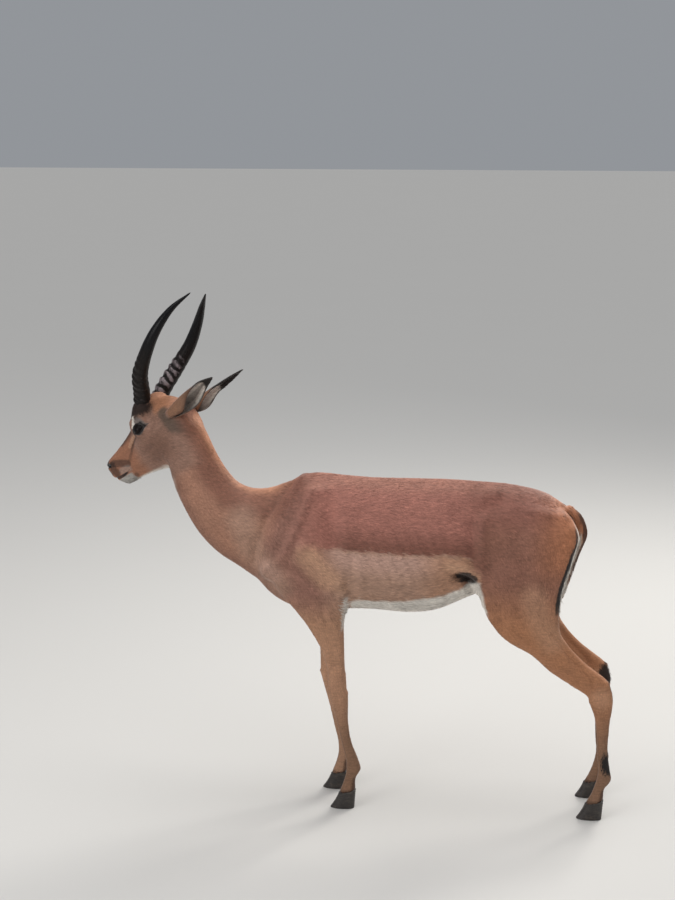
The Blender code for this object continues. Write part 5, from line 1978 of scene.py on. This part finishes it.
def earCoat(name, inside, count, size):
    # roots by t and s on the leaf, denser where the leaf is wide; hair runs from root to tip
    t = dice.beta(1.25, 1.35, count) * 0.975
    s = dice.uniform(-0.97, 0.97, count)
    depth = float(inside)
    root = earLeaf(name, t, s, depth)
    flow = unit(earLeaf(name, t + 0.012, s * 0.995, depth) - root)
    thick = earLeaf(name, t, s, 0.0) - earLeaf(name, t, s, 1.0)
    normal = np.cross(flow, earLeaf(name, t, s + 0.01, depth) - root)
    normal = unit(normal) * np.sign((normal * thick).sum(1))[:, None] * (-1 if inside else 1)
    turn = dice.normal(size=count)[:, None] * 0.16
    one = np.ones(count)
    row = 2 * list(sides).index(name) + inside
    return {
        "root": root, "normal": normal, "bent": 6.0 * one, "curl": 0.3 * one,
        "flow": unit(flow * np.cos(turn) + np.cross(normal, flow) * np.sin(turn)),
        "length": size[0] * dice.uniform(0.7, 1.2, count) * (1 - 0.45 * t),
        "width": size[1] * dice.uniform(0.8, 1.2, count),
        "rise": size[2] * dice.uniform(0.4, 1.4, count),
        "colour": earPaint(name, t, s, inside * one),
        "tone": 1 + 0.1 * dice.normal(size=count),
        "flat": np.stack([t, ((s + 1) / 2 * 0.96 + 0.02 + row) / 4], axis=1),
    }


earCoats = [earCoat(name, inside, *earHair[inside]) for name in sides for inside in (0, 1)]
earTufts = {key: np.concatenate([part[key] for part in earCoats]) for key in earCoats[0]}
coats.append(coatPiece("coatEars", earTufts))

# Hair finish: the marking's colour, darker at the root, each tuft with its own tone.
hairFinish, tree, shader = nodeTree("coatHair")
lit = ranged(tree, attributeNode(tree, "tip"), 0.0, 0.8, 0.86, 1.05)
tone = placed(tree, hairTone, {
    "Colour": attributeNode(tree, "coatColour", "Color"),
    "Shade": mathNode(tree, "MULTIPLY", lit, attributeNode(tree, "tone")),
    "Patchiness": 0.08,
    "Streaks": 0.15,
})
filled(tree, shader, {
    "Base Color": tone.outputs["Colour"],
    "Roughness": 0.55,
    "Specular IOR Level": 0.3,
    "Sheen Weight": 0.22,
    "Sheen Roughness": 0.45,
    "Sheen Tint": (1.0, 0.93, 0.92, 1.0),
})
for piece in coats:
    piece.data.materials.append(hairFinish)
    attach(piece, "root")
print("coat grown:", sum(len(piece.data.polygons) for piece in coats), "faces")


# ---- what stands for what ----

fleshNodes = ["head", "neck", "trunk", "tail", "ear_left", "ear_right"]
limbs = [f"{leg}_{part}" for leg in ("foreleg", "hindleg") for part in ("upper", "lower")]
fleshNodes += [f"{limb}_{side}" for limb in limbs for side in sides]
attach(skin, "root")
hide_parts(*fleshNodes)
for group, node, slot in ((horns, "horn_", "horn"), (eyes, "eye_", "eye")):
    for name, piece in zip(sides, group):
        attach(piece, "root")
        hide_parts(node + name)
for piece, node in hooves:
    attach(piece, "root")
    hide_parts(node)
print("pieces joined to the frame")


# ---- stage ----

stageValues = {
    "floorSize": 60.0,
    "floorColour": (0.6, 0.59, 0.57),
    "cloudColour": (0.54, 0.53, 0.51),
    "worldColour": (0.8, 0.84, 0.9, 1.0),
    "worldStrength": 0.36,
    "camera": (0.429032, -4.499917, 1.9),
    "tilt": math.radians(12),
    "turn": math.radians(6),
    "lens": 72.0,
    "sensor": 36.0,
}
sky = {
    "from": (0.35, 0.3, 1.0),
    "spread": math.radians(55),
    "strength": 1.25,
    "colour": (1.0, 0.985, 0.965),
}
lamps = {  # place, aim, size, watts, colour
    "overhead": ((-0.2, -0.7, 3.4), (0.1, 0.0, 0.6), 2.8, 42.0, (1.0, 0.98, 0.96)),
    "frontLeft": ((-2.4, -3.2, 2.0), (0.0, 0.0, 0.75), 1.8, 40.0, (1.0, 0.98, 0.96)),
    "rear": ((1.8, 2.4, 2.9), (0.0, 0.0, 0.8), 1.2, 78.0, (1.0, 0.97, 0.92)),
}


def floorSurface(size, count=9):
    # a flat grid at height 0
    line = np.linspace(-size / 2, size / 2, count)
    x, y = np.meshgrid(line, line)
    verts = vectors(x, y, 0.0).reshape(-1, 3)
    verts = verts - frameShift * np.array((1.0, 1.0, 0.0))
    return verts, gridQuads(count, count, False), np.zeros((0, 3), int)


floor = newPiece("studioFloor", floorSurface(stageValues["floorSize"]))
floorFinish, tree, shader = nodeTree("paleFloor")
cloud = ranged(tree, noiseNode(tree, 1.5, 2.0), 0.3, 0.7, 0.0, 0.05)
filled(tree, shader, {
    "Base Color": mixNode(tree, cloud, stageValues["floorColour"], stageValues["cloudColour"]),
    "Roughness": 0.9,
    "Specular IOR Level": 0.1,
})
floor.data.materials.append(floorFinish)

world = bpy.data.worlds.new("studio")
world.use_nodes = True
world.node_tree.nodes["Background"].inputs["Color"].default_value = stageValues["worldColour"]
world.node_tree.nodes["Background"].inputs["Strength"].default_value = stageValues["worldStrength"]
bpy.context.scene.world = world


def newLamp(name, kind, colour, strength, towards):
    # a lamp that shines along a direction
    light = bpy.data.lights.new(name, kind)
    light.color = colour
    light.energy = strength
    lamp = bpy.data.objects.new(name, light)
    lamp.rotation_euler = towards.to_track_quat("-Z", "Y").to_euler()
    bpy.context.scene.collection.objects.link(lamp)
    return lamp


for name, (place, aim, size, watts, colour) in lamps.items():
    lamp = newLamp(name, "AREA", colour, watts, Vector(aim) - Vector(place))
    lamp.location = place
    lamp.data.size = size
lamp = newLamp("sky", "SUN", sky["colour"], sky["strength"], -Vector(sky["from"]))
lamp.data.angle = sky["spread"]

camera = bpy.data.objects.new("camera", bpy.data.cameras.new("camera"))
camera.location = stageValues["camera"]
camera.rotation_euler = (math.pi / 2 - stageValues["tilt"], 0.0, stageValues["turn"])
camera.data.lens = stageValues["lens"]
camera.data.sensor_width = stageValues["sensor"]
bpy.context.scene.collection.objects.link(camera)
bpy.context.scene.camera = camera
bpy.context.scene.view_settings.view_transform = "Standard"
print("stage set")
